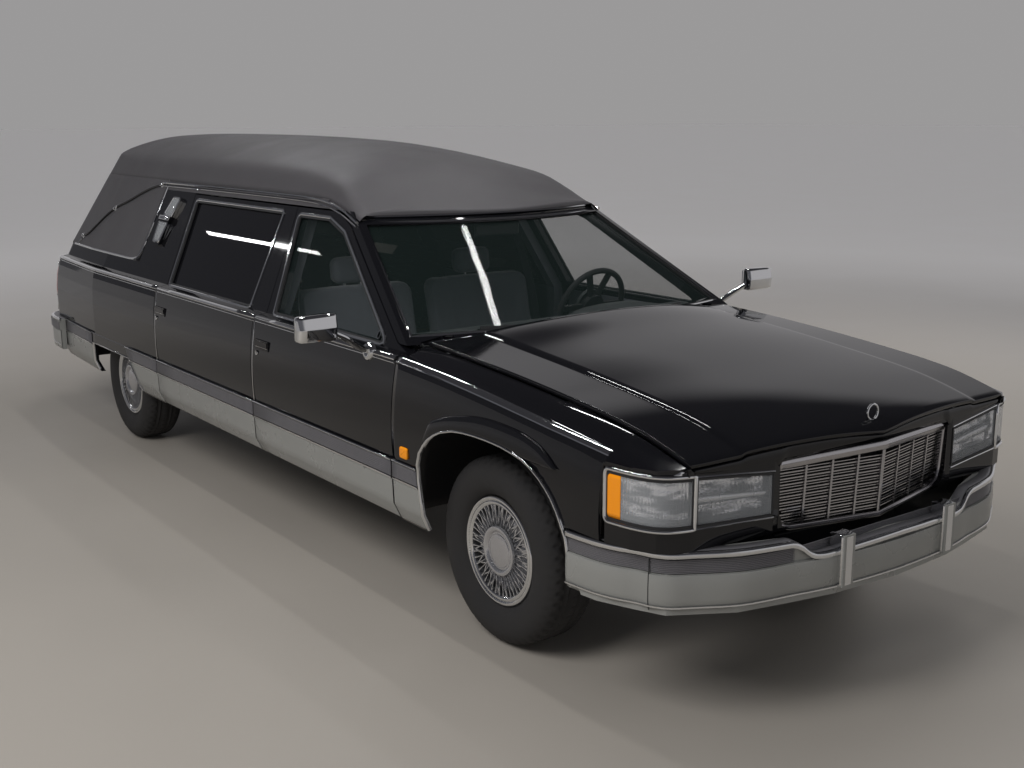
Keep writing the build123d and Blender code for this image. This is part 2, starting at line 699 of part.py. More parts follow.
# Covered corner beside the hood, and the standing panel below the lamps and the grille
nose_cover = plan_prism([(HOOD_HALF + 3, -690.3)] + NOSE_LINE[:4] + [(HOOD_HALF + 3, -912)], 847, 940) & nose_top.part
nose_apron = plan_prism([(780, -840), (640, -900), (446, -925), (446, -905), (640, -880), (770, -825)], 500, NOSE_LOW + 1)
intake_panel = plan_prism([(447, -925), (0, -985), (0, -965), (447, -905)], 500, 588)
nose_panel = nose_panel + nose_cover + nose_apron + intake_panel
write(solids_of(nose_panel + mirror(nose_panel, about=Plane.YZ)), "header_panel")
write(both_sides(((lamp + bezel) - lamp_seam) & box(0, 1000, -1100, -690.3, 600, 900)), "headlamps")

GRILLE_THICK = 24.0
# Height and how far forward the grille's middle and ends stand there
GRILLE_ROWS = [(585.0, -1001.0, -920.0), (860.0, -1013.0, -933.0)]


def grille_band(back):
    """Standing sheet with a V-shaped plan behind the grille's face, its front moved back."""
    with BuildPart() as band:
        for z, middle, end in GRILLE_ROWS:
            with BuildSketch(level(z)):
                with BuildLine():
                    Polyline(
                        (-446, aft(end + back)), (0, aft(middle + back)), (446, aft(end + back)),
                        (446, aft(end + GRILLE_THICK)), (0, aft(middle + GRILLE_THICK)), (-446, aft(end + GRILLE_THICK)),
                        close=True,
                    )
                make_face()
        loft(ruled=True)
    return band.part


GRILLE_COLUMNS, GRILLE_COLUMN_STEP = 8, 107.5
GRILLE_SLATS, GRILLE_SLAT_LOW, GRILLE_SLAT_STEP = 9, 626.0, 20.6
grille_frame = front_prism(GRILLE_FACE, -1100, -800) - front_prism(GRILLE_HOLE, -1100, -800)
with BuildPart() as bars:
    for column in range(1, GRILLE_COLUMNS):
        width = 16 if column == GRILLE_COLUMNS / 2 else 8
        with Locations(((column - GRILLE_COLUMNS / 2) * GRILLE_COLUMN_STEP, aft(-960), 718)):
            Box(width, 200, 244)
with BuildPart() as slats:
    for row in range(GRILLE_SLATS):
        with Locations((0, aft(-960), GRILLE_SLAT_LOW + row * GRILLE_SLAT_STEP)):
            Box(2 * 436, 200, 5)
grille_inside = front_prism(GRILLE_FACE, -1100, -800, -2)
grille = ((grille_frame + (bars.part & grille_inside)) & grille_band(0)) + ((slats.part & grille_inside) & grille_band(4))
write(solids_of(grille), "grille")

# Front bumper: ledge, recessed band and lower face, as height, top and how far each stands out
BUMPER_OUTER = [(974.0, -520.0), (958.0, -660.0), (907.0, -790.0), (866.0, -880.0), (666.0, -996.0), (471.0, -1040.0), (304.0, -1072.0), (0.0, -1092.0)]
BUMPER_INNER = [(0.0, -1030.0), (304.0, -1020.0), (471.0, -990.0), (640.0, -935.0), (826.0, -840.0), (880.0, -770.0), (925.0, -650.0), (938.0, -520.0)]
BUMPER_STEPS = [(400.0, 532.0, 0.0), (532.0, 586.0, -8.0), (586.0, 602.0, 2.0)]
BUMPER_DIP = [(471, 620), (471, 602), (378, 548), (300, 548), (0, 560), (-300, 548), (-378, 548), (-471, 602), (-471, 620)]


def bumper_body(outer, inner, steps):
    """Half of a bumper, built up from its steps."""
    body = Part()
    for low_z, high_z, out in steps:
        body = body + plan_prism(grown(outer, out)[:-1] + [(0, outer[-1][1] - out)] + inner, low_z, high_z)
    return body


bumper = bumper_body(BUMPER_OUTER, BUMPER_INNER, BUMPER_STEPS) - front_arch
bumper = bumper - front_prism(BUMPER_DIP, -1200, -900) - box(-1, 170, -1110, -1084, 440, 535)
guard = box(243, 297, -1100, -1050, 425, 600)
PLATE_HOLE_SPACING = 178.0
PLATE_HOLE_RADIUS = 3.5
PLATE_HOLE_Z = 500.0
REAR_PLATE_HOLE_Z = 520.0


def plate_holes(distance, z):
    """Two holes along the car for a number plate."""
    with BuildPart() as holes:
        for side in (-1, 1):
            with Locations(Location((side * PLATE_HOLE_SPACING / 2, aft(distance), z), (90, 0, 0))):
                Cylinder(PLATE_HOLE_RADIUS, 300)
    return holes.part


bumper_arm = box(420, 470, -1012, -940 - SEAT_GAP, 430, 490)
bumper = bumper + guard + bumper_arm
front_bumper = bumper + mirror(bumper, about=Plane.YZ) - plate_holes(-1060, PLATE_HOLE_Z)
write(solids_of(front_bumper), "bumper_front")

# Windshield and its frame: bands bowed forward, as height, half width, corner and middle distance
SCREEN_LOW = (1040.0, GLASS_HALF - 10, 577.0, 455.0)
SCREEN_TOP = (1480.0, GLASS_HALF - 224, 1345.0, 1176.0)


def screen_band(low, top, trim, front, rear):
    """Leaning bowed sheet between two levels, from a front offset to a rear offset."""
    with BuildPart() as band:
        for z, half, corner, middle in (low, top):
            half = half - trim
            with BuildSketch(level(z)):
                with BuildLine():
                    ThreePointArc((-half, aft(corner + front)), (0, aft(middle + front)), (half, aft(corner + front)))
                    Line((half, aft(corner + front)), (half, aft(corner + rear)))
                    ThreePointArc((half, aft(corner + rear)), (0, aft(middle + rear)), (-half, aft(corner + rear)))
                    Line((-half, aft(corner + rear)), (-half, aft(corner + front)))
                make_face()
        loft(ruled=True)
    return band.part


def between(low, top, z):
    """Row of the screen table at a height between the two given."""
    part_way = (z - low[0]) / (top[0] - low[0])
    return tuple(a + (b - a) * part_way for a, b in zip(low, top))


pane_low = between(SCREEN_LOW, SCREEN_TOP, 1066.0)
pane_top = between(SCREEN_LOW, SCREEN_TOP, 1452.0)
screen_hole = screen_band(pane_low, pane_top, 34, -60, 160)
frame_band = screen_band(SCREEN_LOW, between(SCREEN_LOW, SCREEN_TOP, ROOF_BASE - SEAT_GAP), 0, 0, 62)
cowl = plan_prism([(-815, 575), (-700, 520), (-400, 450), (0, 420), (400, 450), (700, 520), (815, 575), (760, 622), (-760, 622)], 985, 1042)
hinge_plate = box(HOOD_ARM_X + 12 + SEAT_GAP, HOOD_ARM_X + 30, HOOD_HINGE_Y - 20, HOOD_HINGE_Y + 14, 1000, HOOD_HINGE_Z + 8)
arm_room = box(HOOD_ARM_X - 6, HOOD_ARM_X + 12 + SEAT_GAP, HOOD_HINGE_Y - 90, HOOD_HINGE_Y + 24, 992, 1100)
cowl = cowl - arm_room - mirror(arm_room, about=Plane.YZ)
cowl = cowl + hinge_plate + mirror(hinge_plate, about=Plane.YZ)
hood_corner_room = both_sides(box(HOOD_ARM_X - 6, 832, 480, 574, 1030, 1068))
frame = (frame_band - screen_hole - door_holes - hood_corner_room) + (cowl - door_holes)
write(solids_of(frame), "windshield_frame")
write(screen_band(pane_low, pane_top, 34, 14, 26), "windshield")

# Floor, sills, bulkhead and wheel houses
SILL_OUT = 858.0
sill_beam = box(790, SILL_OUT, 575, 3230, 360, 485)
bulkhead = box(-850, 850, 575, 600, 470, 985 - SEAT_GAP) + both_sides(box(800, 850, 590, 640, 480, 985 - SEAT_GAP))
floor_plate = box(-800, 800, 590, 3230, 470, 485)
load_floor = box(-620, 620, 2060, 5040, 690, 705)
step_wall = box(-620, 620, 2060, 2080, 485 + SEAT_GAP, 695)
front_mounts = (
    box(420, 470, 880, 940, 430 + SEAT_GAP, 475)
    + box(420, 470, 1780, 1840, 430 + SEAT_GAP, 475)
    + box(420, 470, 2880, 2940, 430 + SEAT_GAP, 475)
)
rear_mounts = (
    box(420, 470, 3600, 3660, 620 + SEAT_GAP, 695)
    + box(420, 470, 4080, 4140, 620 + SEAT_GAP, 695)
    + box(420, 470, 4900, 4960, 560 + SEAT_GAP, 695)
)
quarter_mount = box(850, 954.4, 3110, 3228, 440, 480)
front_striker = box(840, 884, 566, 596, HINGE_Z + 10 + SEAT_GAP, HINGE_Z + 20)
house_rear = side_prism([(3330, 440), (3400, 700), (3560, 800), (4020, 800), (4230, 700), (4300, 440)], 620 + SEAT_GAP, 938) - side_prism(
    [(3352, 400), (3420, 690), (3575, 785), (4005, 785), (4212, 690), (4280, 400)], 636, 1000
)
house_rear = house_rear + box(930, 959.2, 3700, 3900, 786, 799)
floor = (
    sill_beam + mirror(sill_beam, about=Plane.YZ) + bulkhead + floor_plate
    + both_sides(front_mounts) + both_sides(quarter_mount) + both_sides(front_striker)
)
write(solids_of(floor), "floor")
write(solids_of(load_floor + step_wall + both_sides(rear_mounts)), "load_floor")
write(both_sides(house_rear), "rear_wheel_houses")

# Inner aprons beside the engine carry the fenders
APRON_HALF = 480.0
apron_flange = side_prism([(-690, 860), (540, 860), (540, 970), (100, 950), (-350, 910), (-690, 866)], 804, HOOD_HALF + 3 - SEAT_GAP)
apron = (
    box(APRON_HALF + SEAT_GAP, APRON_HALF + 12, -690, 540, 420, 860)
    - box(APRON_HALF - 10, APRON_HALF + 20, -60, 60, 400, 520)
    + box(APRON_HALF + SEAT_GAP, HOOD_HALF + 3 - SEAT_GAP, -690, 540, 848, 862)
    + apron_flange
)
write(both_sides(apron), "fender_aprons")

pillar = side_prism([(1790, 485.3), (1850, 485.3), (1850, 1010), (1960, 1496), (1900, 1496), (1790, 1010)], 560, 905)
with BuildPart() as pillar_section:
    with BuildSketch(station(1500)):
        with BuildLine():
            Polyline((SILL_OUT, 485.3), (SILL_OUT, 1000), (glass_half(1500, 62), 1500), (glass_half(1500, 110), 1500), (SILL_OUT - 60, 1000), (SILL_OUT - 60, 485.3), close=True)
        make_face()
    extrude(amount=-700)
write(both_sides((pillar & pillar_section.part) + box(SILL_OUT - 60, 884, 1836, 1866, HINGE_Z + 10 + SEAT_GAP, HINGE_Z + 20)), "centre_pillars")

# Running gear
rail = side_prism([(-940, 400), (-940, 500), (480, 500), (700, 430), (3200, 430), (3420, 620), (4180, 620), (4400, 560), (5090, 560), (5090, 460), (4380, 460), (4150, 510), (3460, 510), (3250, 330), (650, 330), (450, 400)], 410, 480)
with BuildPart() as cross_members:
    for distance, z in ((-900, 450), (0, 430), (800, 380), (2000, 380), (3150, 380), (4450, 520), (5050, 510)):
        with Locations((0, aft(distance), z)):
            Box(2 * 409.7, 60, 60)
write(both_sides(rail), "frame_rails")
write(solids_of(cross_members.part), "frame_crossmembers")
write(box(-280, 280, -330, 380, 460 + SEAT_GAP, 900), "engine_block")
write(side_prism([(4480 + SEAT_GAP, 400), (4960, 400), (4960, 640), (4480 + SEAT_GAP, 640)], -380, 380, 34), "fuel_tank")
EXHAUST_X, EXHAUST_Z = 230.0, 315.0
EXHAUST_PATH = [(500, EXHAUST_Z), (3420, EXHAUST_Z), (3620, 510), (3980, 510), (4220, 350), (5120, 350)]
with BuildPart() as pipe:
    with BuildLine() as pipe_line:
        Polyline([(EXHAUST_X, aft(d), z) for d, z in EXHAUST_PATH])
    with BuildSketch(Plane(origin=(EXHAUST_X, aft(EXHAUST_PATH[0][0]), EXHAUST_Z), z_dir=(0, 1, 0))):
        Circle(28)
    sweep(path=pipe_line.line, transition=Transition.RIGHT)
    with Locations(Location((EXHAUST_X, aft(2560), EXHAUST_Z), (90, 0, 0))):
        Cylinder(74, 620)
exhaust = pipe.part
for distance in (800, 2000, 3150):
    exhaust = exhaust + box(EXHAUST_X - 8, EXHAUST_X + 8, distance - 15, distance + 15, 330, 350 - SEAT_GAP)
write(solids_of(exhaust), "exhaust")
with BuildPart() as axle:
    with Locations(Location((0, aft(WHEELBASE), TYRE_RADIUS), (0, 90, 0))):
        Cylinder(42, 1300)
        Cylinder(140, 300)
        Cylinder(60, 2 * (REAR_HALF_TRACK - 10 - SEAT_GAP))
    with Locations((-445, aft(WHEELBASE), 450), (445, aft(WHEELBASE), 450)):
        Cylinder(45, 2 * (60 - SEAT_GAP))
write(axle.part, "rear_axle")

KINGPIN_HALF = 776.0
arm = box(400, KINGPIN_HALF, -35, 35, 225, 262)
upper_arm = box(APRON_HALF + SEAT_GAP, KINGPIN_HALF + 12, -35, 35, 470, 482)
with BuildPart() as spring:
    with Locations((440, aft(0), 330)):
        Cylinder(40, 140)
suspension = arm + spring.part + upper_arm
write(both_sides(suspension), "front_suspension")

with BuildPart() as knuckle:
    with Locations((KINGPIN_HALF - 50, aft(0), 367)):
        Box(40, 80, 180)
    with Locations((KINGPIN_HALF - 26, aft(0), 286)):
        Box(76, 50, 20)
    with Locations((KINGPIN_HALF, aft(0), 276)):
        Cylinder(16, 2 * (14 - SEAT_GAP))
    with Locations((KINGPIN_HALF - 26, aft(0), 448)):
        Box(76, 50, 18)
    with Locations((KINGPIN_HALF, aft(0), 456)):
        Cylinder(16, 2 * (14 - SEAT_GAP))
    with Locations(Location(((KINGPIN_HALF - 40 + FRONT_HALF_TRACK - 10 - SEAT_GAP) / 2, aft(0), TYRE_RADIUS), (0, 90, 0))):
        Cylinder(58, FRONT_HALF_TRACK - 10 - SEAT_GAP - KINGPIN_HALF + 40)
write_pair(knuckle.part, "knuckle")

# Wheel covers: crossed wire spokes between a hub cap and a double ring
COVER_SPOKES = 20
COVER_TILT = 24.0
COVER_PROFILE = [
    (60, 0), (60, 206), (-82, 206), (-82, 176), (30, 170), (30, 60), (-10, 60), (-10, 0),
]
# Raised rings of the cover: inner radius, outer radius, how far out, roundness of the edge
COVER_RINGS = [(0, 66, 84, 4), (66, 78, 80, 1), (78, 92, 88, 3), (176, 189, 84, 3), (189, 204, 88, 3)]
TYRE_PROFILE = [(79, 206.3), (104, 232), (113, 280), (108, 320), (92, 346), (70, TYRE_RADIUS), (-70, TYRE_RADIUS), (-92, 346), (-108, 320), (-113, 280), (-104, 232), (-82, 206.3)]


def turned(points):
    """Solid turned about the x axis from an outline of (x, radius)."""
    with BuildPart() as body:
        with BuildSketch(Plane.XY):
            with BuildLine():
                Polyline(points, close=True)
            make_face()
        revolve(axis=Axis.X)
    return body.part


def make_wheel(half_track, name):
    """Wheel and its wire-look cover with the tyre, on the car's left and mirrored on the right."""
    distance = 0.0 if name == "front" else WHEELBASE
    wheel = turned(COVER_PROFILE)
    for low_r, high_r, out, bevel in COVER_RINGS:
        wheel = wheel + turned([(58, low_r), (out - bevel, low_r), (out, low_r + bevel * (low_r > 0)), (out, high_r - bevel), (out - bevel, high_r), (58, high_r)])
    with BuildPart() as spokes:
        with BuildSketch(Plane.YZ.offset(58)):
            for tilt in (-COVER_TILT, COVER_TILT):
                with PolarLocations(134, COVER_SPOKES, start_angle=0 if tilt > 0 else 180 / COVER_SPOKES):
                    Rectangle(106, 5, rotation=tilt)
        extrude(amount=20)
    wheel = wheel + spokes.part
    place = Location((half_track, aft(distance), TYRE_RADIUS))
    write_pair(place * wheel, f"wheel_{name}")
    write_pair(place * turned(TYRE_PROFILE), f"tyre_{name}")


make_wheel(FRONT_HALF_TRACK, "front")
make_wheel(REAR_HALF_TRACK, "rear")

# Cabin
seat = side_prism([(1250, 560), (1250, 640), (1760, 610), (1760, 540)], -680, 680, 26) + side_prism([(1700, 560), (1740, 600), (1890, 1090), (1990, 1090), (1900, 520)], -680, 680, 20)
seat = seat + box(-640, 640, 1290, 1860, 485.3, 570)
headrest = side_prism([(1930, 1060), (1940, 1230), (2010, 1230), (1990, 1060)], 250, 480, 20)
write(solids_of(seat + headrest + mirror(headrest, about=Plane.YZ)), "cabin_seat")
dashboard = side_prism([(600 + SEAT_GAP, 700), (600 + SEAT_GAP, 975), (626, 975), (626, 1010), (700, 1035), (900, 1010), (960, 900), (900, 700)], -800, 800) - both_sides(box(790, 900, 500, 640 + 1, 400, 1100))
write(solids_of(dashboard), "dashboard")
WHEEL_TILT = 24.0
with BuildPart() as steering:
    with Locations(Location((400, aft(1000), 1030), (-WHEEL_TILT - 45, 0, 0))):
        Torus(185, 14)
        Cylinder(60, 40)
        for turn in (0, 180, 250, 290):
            with Locations(Location((0, 0, 0), (0, 0, turn))):
                with Locations((92, 0, 0)):
                    Box(180, 28, 14)
    with Locations(Location((400, aft(960), 990), (-WHEEL_TILT - 45, 0, 0))):
        Cylinder(24, 150)
write(solids_of(steering.part - dashboard), "steering_wheel")
deck = box(-560, 560, 2120, 5000, 705.3, 725)
with BuildPart() as rollers:
    for distance in (2400, 2900, 3400, 3900, 4400, 4900):
        with Locations(Location((0, aft(distance), 724), (0, 90, 0))):
            Cylinder(18, 700)
write(solids_of(deck + rollers.part), "casket_deck")

# Mirrors, wipers, side bars, tail lamps, rear bumper
mirror_head = side_prism([(692, 1071), (700, 1181), (744, 1181), (758, 1071)], 1139, 1308, 18)
with BuildPart() as stalk:
    with BuildSketch(station(732)):
        with BuildLine():
            Polyline((955, 1000), (985, 976), (1150, 1082), (1150, 1112), close=True)
        make_face()
    extrude(amount=-34)
    with Locations((962, aft(765), 988)):
        Box(50, 70, 38)
write_pair((mirror_head + stalk.part) - wall, "mirror")
write(both_sides(plan_prism([(120, 434), (620, 497), (620, 507), (120, 444)], 1042.3, 1053)), "wipers")
# Landau bar: its middle line as distance and height, and the fittings that hold it
LANDAU_LINE = [(3689, 1527), (3808, 1507), (3933, 1475), (4117, 1416), (4311, 1359), (4428, 1305), (4540, 1245), (4631, 1195), (4700, 1168), (4762, 1160)]
LANDAU_FITTINGS = [(3689, 1527), (4311, 1359), (4762, 1160)]
LANDAU_HALF = 8.0
LANDAU_OUT = 14.0
front_block = box(-950, 950, 1000, 3200, 1016, 1880)
landau_room = (upper_body(-LANDAU_OUT) & (rear_body(UPPER_ROWS, -LANDAU_OUT) + front_block)) - (
    upper_body(-SEAT_GAP) & (rear_body(UPPER_ROWS, -SEAT_GAP) + front_block)
)
landau_bar = side_prism([(d, z + LANDAU_HALF) for d, z in LANDAU_LINE] + [(d, z - LANDAU_HALF) for d, z in LANDAU_LINE[::-1]], 400, 1000)
with BuildPart() as fittings:
    for distance, z in LANDAU_FITTINGS:
        with Locations(Location((700, aft(distance), z), (0, 90, 0))):
            Cylinder(20, 600)
write(both_sides((landau_bar + fittings.part) & landau_room), "landau_bars")
write(both_sides(tail_lamp & lower_shell), "tail_lamps")
REAR_BUMPER_OUTER = [(990.0, 4840.0), (978.0, 5050.0), (930.0, 5180.0), (700.0, 5270.0), (350.0, 5312.0), (0.0, 5324.0)]
REAR_BUMPER_INNER = [(0.0, 5200.0), (350.0, 5190.0), (700.0, 5180.0), (880.0, 5140.0), (940.0, 5040.0), (960.0, 4840.0)]
REAR_BUMPER_STEPS = [(400.0, 532.0, 0.0), (532.0, 588.0, -10.0), (588.0, 605.0, 0.0)]
rear_bumper = bumper_body(REAR_BUMPER_OUTER, REAR_BUMPER_INNER, REAR_BUMPER_STEPS) + box(420, 470, 5110, 5200, 480, 540)
rear_bumper = rear_bumper - rear_body(REAR_ROWS, -SEAT_GAP)
rear_bumper = rear_bumper + mirror(rear_bumper, about=Plane.YZ)
write(solids_of(rear_bumper - plate_holes(5260, REAR_PLATE_HOLE_Z)), "bumper_rear")
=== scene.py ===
import math

import bmesh
import bpy
import numpy as np
from mathutils import Matrix, Vector


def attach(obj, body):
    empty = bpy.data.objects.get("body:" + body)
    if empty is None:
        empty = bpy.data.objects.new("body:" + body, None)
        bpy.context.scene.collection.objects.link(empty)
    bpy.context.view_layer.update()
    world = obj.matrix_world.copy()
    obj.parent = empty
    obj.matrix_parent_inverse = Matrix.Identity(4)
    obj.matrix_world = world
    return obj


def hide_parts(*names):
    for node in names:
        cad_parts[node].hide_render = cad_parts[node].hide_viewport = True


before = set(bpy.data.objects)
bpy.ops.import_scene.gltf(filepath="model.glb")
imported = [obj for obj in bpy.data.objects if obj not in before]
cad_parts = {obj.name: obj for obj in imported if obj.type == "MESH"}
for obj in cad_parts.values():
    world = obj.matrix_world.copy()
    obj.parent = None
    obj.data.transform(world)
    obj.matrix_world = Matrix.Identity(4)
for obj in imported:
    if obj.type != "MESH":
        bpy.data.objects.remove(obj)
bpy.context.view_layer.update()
print("frame loaded,", len(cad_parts), "nodes")

# Lengths below are millimetres. d is the distance behind the front axle, x the car's left, z up.
axlePlace = 2112
sides = (("left", 1), ("right", -1))


def spot(x, d, z):
    return Vector((x / 1000, (d - axlePlace) / 1000, z / 1000))


def makeNode(tree, kind, values=None, feeds=(), **settings):
    # a shader node: values by socket name, feeds are (socket, node, output)
    node = tree.nodes.new("ShaderNode" + kind)
    for setting, value in settings.items():
        setattr(node, setting, value)
    for socket, value in (values or {}).items():
        node.inputs[socket].default_value = value
    for socket, source, output in feeds:
        tree.links.new(source.outputs[output], node.inputs[socket])
    return node


def newMaterial(name, values):
    material = bpy.data.materials.new(name)
    material.use_nodes = True
    shader = material.node_tree.nodes["Principled BSDF"]
    for socket, value in values.items():
        shader.inputs[socket].default_value = value
    return material, material.node_tree, shader


def addBump(tree, shader, texture, output, strength, depth):
    bump = makeNode(tree, "Bump", {"Strength": strength, "Distance": depth}, [("Height", texture, output)])
    tree.links.new(bump.outputs["Normal"], shader.inputs["Normal"])


def finish(
    name, colour, rough=(0.3, 0.4), metal=0.0, coat=0.0, tint=None, tintScale=4.0,
    grain=None, sheen=0.0, stretch=(1, 1, 1), crisp=False,
):
    # patches vary the roughness and, with a tint, the colour; grain is (kind, scale, strength, depth)
    base = {"Base Color": (*colour, 1), "Metallic": metal, "Coat Weight": coat, "Coat Roughness": 0.03}
    material, tree, shader = newMaterial(name, {**base, "Sheen Weight": sheen})
    place = makeNode(tree, "TexCoord")
    spread = makeNode(tree, "Mapping", {"Scale": stretch}, [("Vector", place, "Object")])
    patches = makeNode(tree, "TexNoise", {"Scale": tintScale, "Detail": 6}, [("Vector", spread, "Vector")])
    limits = {"From Min": 0.3, "From Max": 0.7, "To Min": rough[0], "To Max": rough[1]}
    roughness = makeNode(tree, "MapRange", limits, [("Value", patches, "Fac")])
    tree.links.new(roughness.outputs["Result"], shader.inputs["Roughness"])
    if tint:
        share = (patches, "Fac")
        if crisp:
            share = (makeNode(tree, "MapRange", {"From Min": 0.44, "From Max": 0.56}, [("Value", *share)]), "Result")
        colours = {"A": (*colour, 1), "B": (*tint, 1)}
        blend = makeNode(tree, "Mix", colours, [("Factor", *share)], data_type="RGBA")
        tree.links.new(blend.outputs["Result"], shader.inputs["Base Color"])
    if grain:
        kind, scale, strength, depth = grain
        if kind == "cells":
            texture, output = makeNode(tree, "TexVoronoi"), "Distance"
        else:
            texture, output = makeNode(tree, "TexNoise", {"Detail": 4}), "Fac"
        texture.inputs["Scale"].default_value = scale
        tree.links.new(spread.outputs["Vector"], texture.inputs["Vector"])
        addBump(tree, shader, texture, output, strength, depth)
    return material


def glazing(name, colour, rough=0.0, seeThrough=0.9):
    # see-through by its alpha, so that light and shadow rays reach what is behind it
    values = {"Base Color": (*colour, 1), "Roughness": rough, "IOR": 1.45, "Alpha": 1 - seeThrough}
    material, tree, shader = newMaterial(name, values)
    place = makeNode(tree, "TexCoord")
    haze = makeNode(tree, "TexNoise", {"Scale": 30}, [("Vector", place, "Object")])
    addBump(tree, shader, haze, "Fac", 0.02, 0.001)
    return material


looks = {
    "black": finish("glossBlack", (0.004, 0.004, 0.005), (0.03, 0.06), grain=("noise", 300, 0.02, 0.0005)),
    "vinyl": finish(
        "grainedVinyl", (0.045, 0.042, 0.045), (0.45, 0.58), tint=(0.062, 0.058, 0.062), tintScale=3,
        grain=("cells", 420, 0.5, 0.001),
    ),
    "chrome": finish("chromePlate", (0.78, 0.79, 0.8), (0.04, 0.1), metal=1.0, grain=("noise", 60, 0.02, 0.001)),
    "satin": finish("satinSteel", (0.62, 0.62, 0.63), (0.22, 0.32), metal=1.0, grain=("noise", 400, 0.1, 0.0003)),
    "grilleSilver": finish(
        "grilleSilver", (0.5, 0.49, 0.5), (0.16, 0.24), metal=1.0, grain=("noise", 300, 0.05, 0.0003)
    ),
    "mirrorSilver": finish(
        "mirrorSilver", (0.86, 0.87, 0.88), (0.02, 0.06), metal=1.0, grain=("noise", 18, 0.25, 0.004)
    ),
    # silvered lamp back: crisp, stretched dark patches in its colour are painted reflections of dark surroundings
    "lampBackPaintedReflections": finish(
        "lampBackPaintedReflections", (0.95, 0.95, 0.97), (0.04, 0.12), metal=1.0, tint=(0.1, 0.1, 0.11), tintScale=16,
        stretch=(0.7, 0.7, 2.6), crisp=True, grain=("noise", 30, 0.5, 0.01),
    ),
    "stripGrey": finish("stripGrey", (0.16, 0.155, 0.165), (0.3, 0.42), metal=0.4, grain=("noise", 500, 0.1, 0.0003)),
    "cladding": finish(
        "claddingPaint", (0.3, 0.3, 0.285), (0.24, 0.34), metal=0.35, grain=("noise", 500, 0.05, 0.0003)
    ),
    "clear": glazing("clearGlass", (0.02, 0.03, 0.028), 0.0, 0.82),
    "privacy": glazing("darkGlass", (0.003, 0.003, 0.004), 0.01, 0.05),
    "lens": glazing("lampLens", (0.7, 0.72, 0.74), 0.03, 0.82),
    "amber": glazing("amberLens", (0.9, 0.3, 0.01), 0.05, 0.1),
    "red": glazing("redLens", (0.45, 0.008, 0.006), 0.05, 0.1),
    "wheelSilver": finish("wheelSilver", (0.6, 0.6, 0.62), (0.2, 0.3), metal=0.9, grain=("noise", 300, 0.05, 0.0003)),
    "rubber": finish(
        "tyreRubber", (0.018, 0.018, 0.019), (0.65, 0.8), tint=(0.03, 0.028, 0.027), tintScale=12,
        grain=("noise", 350, 0.25, 0.0006),
    ),
    "plastic": finish("blackPlastic", (0.02, 0.02, 0.021), (0.45, 0.6), grain=("noise", 600, 0.2, 0.0004)),
    "blackMetal": finish(
        "blackMetal", (0.015, 0.015, 0.016), (0.4, 0.55), metal=0.2, grain=("noise", 200, 0.15, 0.0005)
    ),
    "greyTrim": finish("greyTrim", (0.12, 0.125, 0.14), (0.5, 0.65), grain=("noise", 700, 0.2, 0.0004)),
    "dashTrim": finish(
        "dashTrim", (0.03, 0.034, 0.035), (0.5, 0.62), tint=(0.045, 0.05, 0.05), tintScale=5,
        grain=("cells", 500, 0.4, 0.0008),
    ),
    "webbing": finish("beltWebbing", (0.035, 0.035, 0.04), (0.6, 0.75), sheen=0.3, grain=("noise", 900, 0.4, 0.0004)),
    "cloth": finish(
        "seatCloth", (0.1, 0.105, 0.12), (0.8, 0.95), tint=(0.13, 0.135, 0.15), tintScale=40, sheen=0.4,
        grain=("cells", 900, 0.4, 0.0006),
    ),
    "carpet": finish("carpet", (0.05, 0.052, 0.058), (0.9, 1.0), sheen=0.5, grain=("noise", 900, 0.8, 0.002)),
    "wood": finish(
        "deckWood", (0.2, 0.09, 0.035), (0.25, 0.4), tint=(0.1, 0.04, 0.018), tintScale=6, stretch=(12, 1, 12),
        coat=0.4, grain=("noise", 40, 0.1, 0.0005),
    ),
    "framePaint": finish(
        "framePaint", (0.02, 0.02, 0.02), (0.5, 0.7), tint=(0.05, 0.04, 0.032), tintScale=9,
        grain=("noise", 120, 0.3, 0.001),
    ),
    "cast": finish(
        "castIron", (0.09, 0.085, 0.08), (0.6, 0.8), metal=0.6, tint=(0.13, 0.09, 0.06), tintScale=14,
        grain=("noise", 160, 0.6, 0.001),
    ),
    "exhaust": finish(
        "exhaustSteel", (0.3, 0.27, 0.24), (0.4, 0.6), metal=0.9, tint=(0.2, 0.14, 0.1), tintScale=10,
        grain=("noise", 100, 0.3, 0.001),
    ),
}


def bothSides(*names):
    return [f"{name}_{sideName}" for name in names for sideName, s in sides]


nodeLooks = {
    "black": [
        "coach_lamp_panels", "landau_bars", *bothSides("door_front", "door_rear"), "front_fenders", "hood",
        "quarter_panels", "tail_door", "tail_sill", "header_panel", "windshield_frame",
    ],
    "vinyl": ["roof", "roof_quarters"],
    "chrome": bothSides("mirror"),
    "cladding": ["bumper_front", "bumper_rear"],
    "grilleSilver": ["grille"],
    "clear": ["windshield", *bothSides("door_glass_front")],
    "privacy": [*bothSides("door_glass_rear"), "tail_glass"],
    "lens": ["headlamps"],
    "red": ["tail_lamps"],
    "wheelSilver": bothSides("wheel_front", "wheel_rear"),
    "rubber": bothSides("tyre_front", "tyre_rear"),
    "plastic": ["wipers", "steering_wheel", "dashboard"],
    "blackMetal": ["fender_aprons", "rear_wheel_houses"],
    "greyTrim": ["centre_pillars"],
    "cloth": ["cabin_seat"],
    "carpet": ["floor", "load_floor"],
    "wood": ["casket_deck"],
    "framePaint": ["frame_rails", "frame_crossmembers", "fuel_tank"],
    "cast": ["engine_block", "front_suspension", *bothSides("knuckle"), "rear_axle"],
    "exhaust": ["exhaust"],
}
for look, names in nodeLooks.items():
    for name in names:
        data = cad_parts[name].data
        data.materials.clear()
        data.materials.append(looks[look])
print("finishes on", sum(len(n) for n in nodeLooks.values()), "nodes")


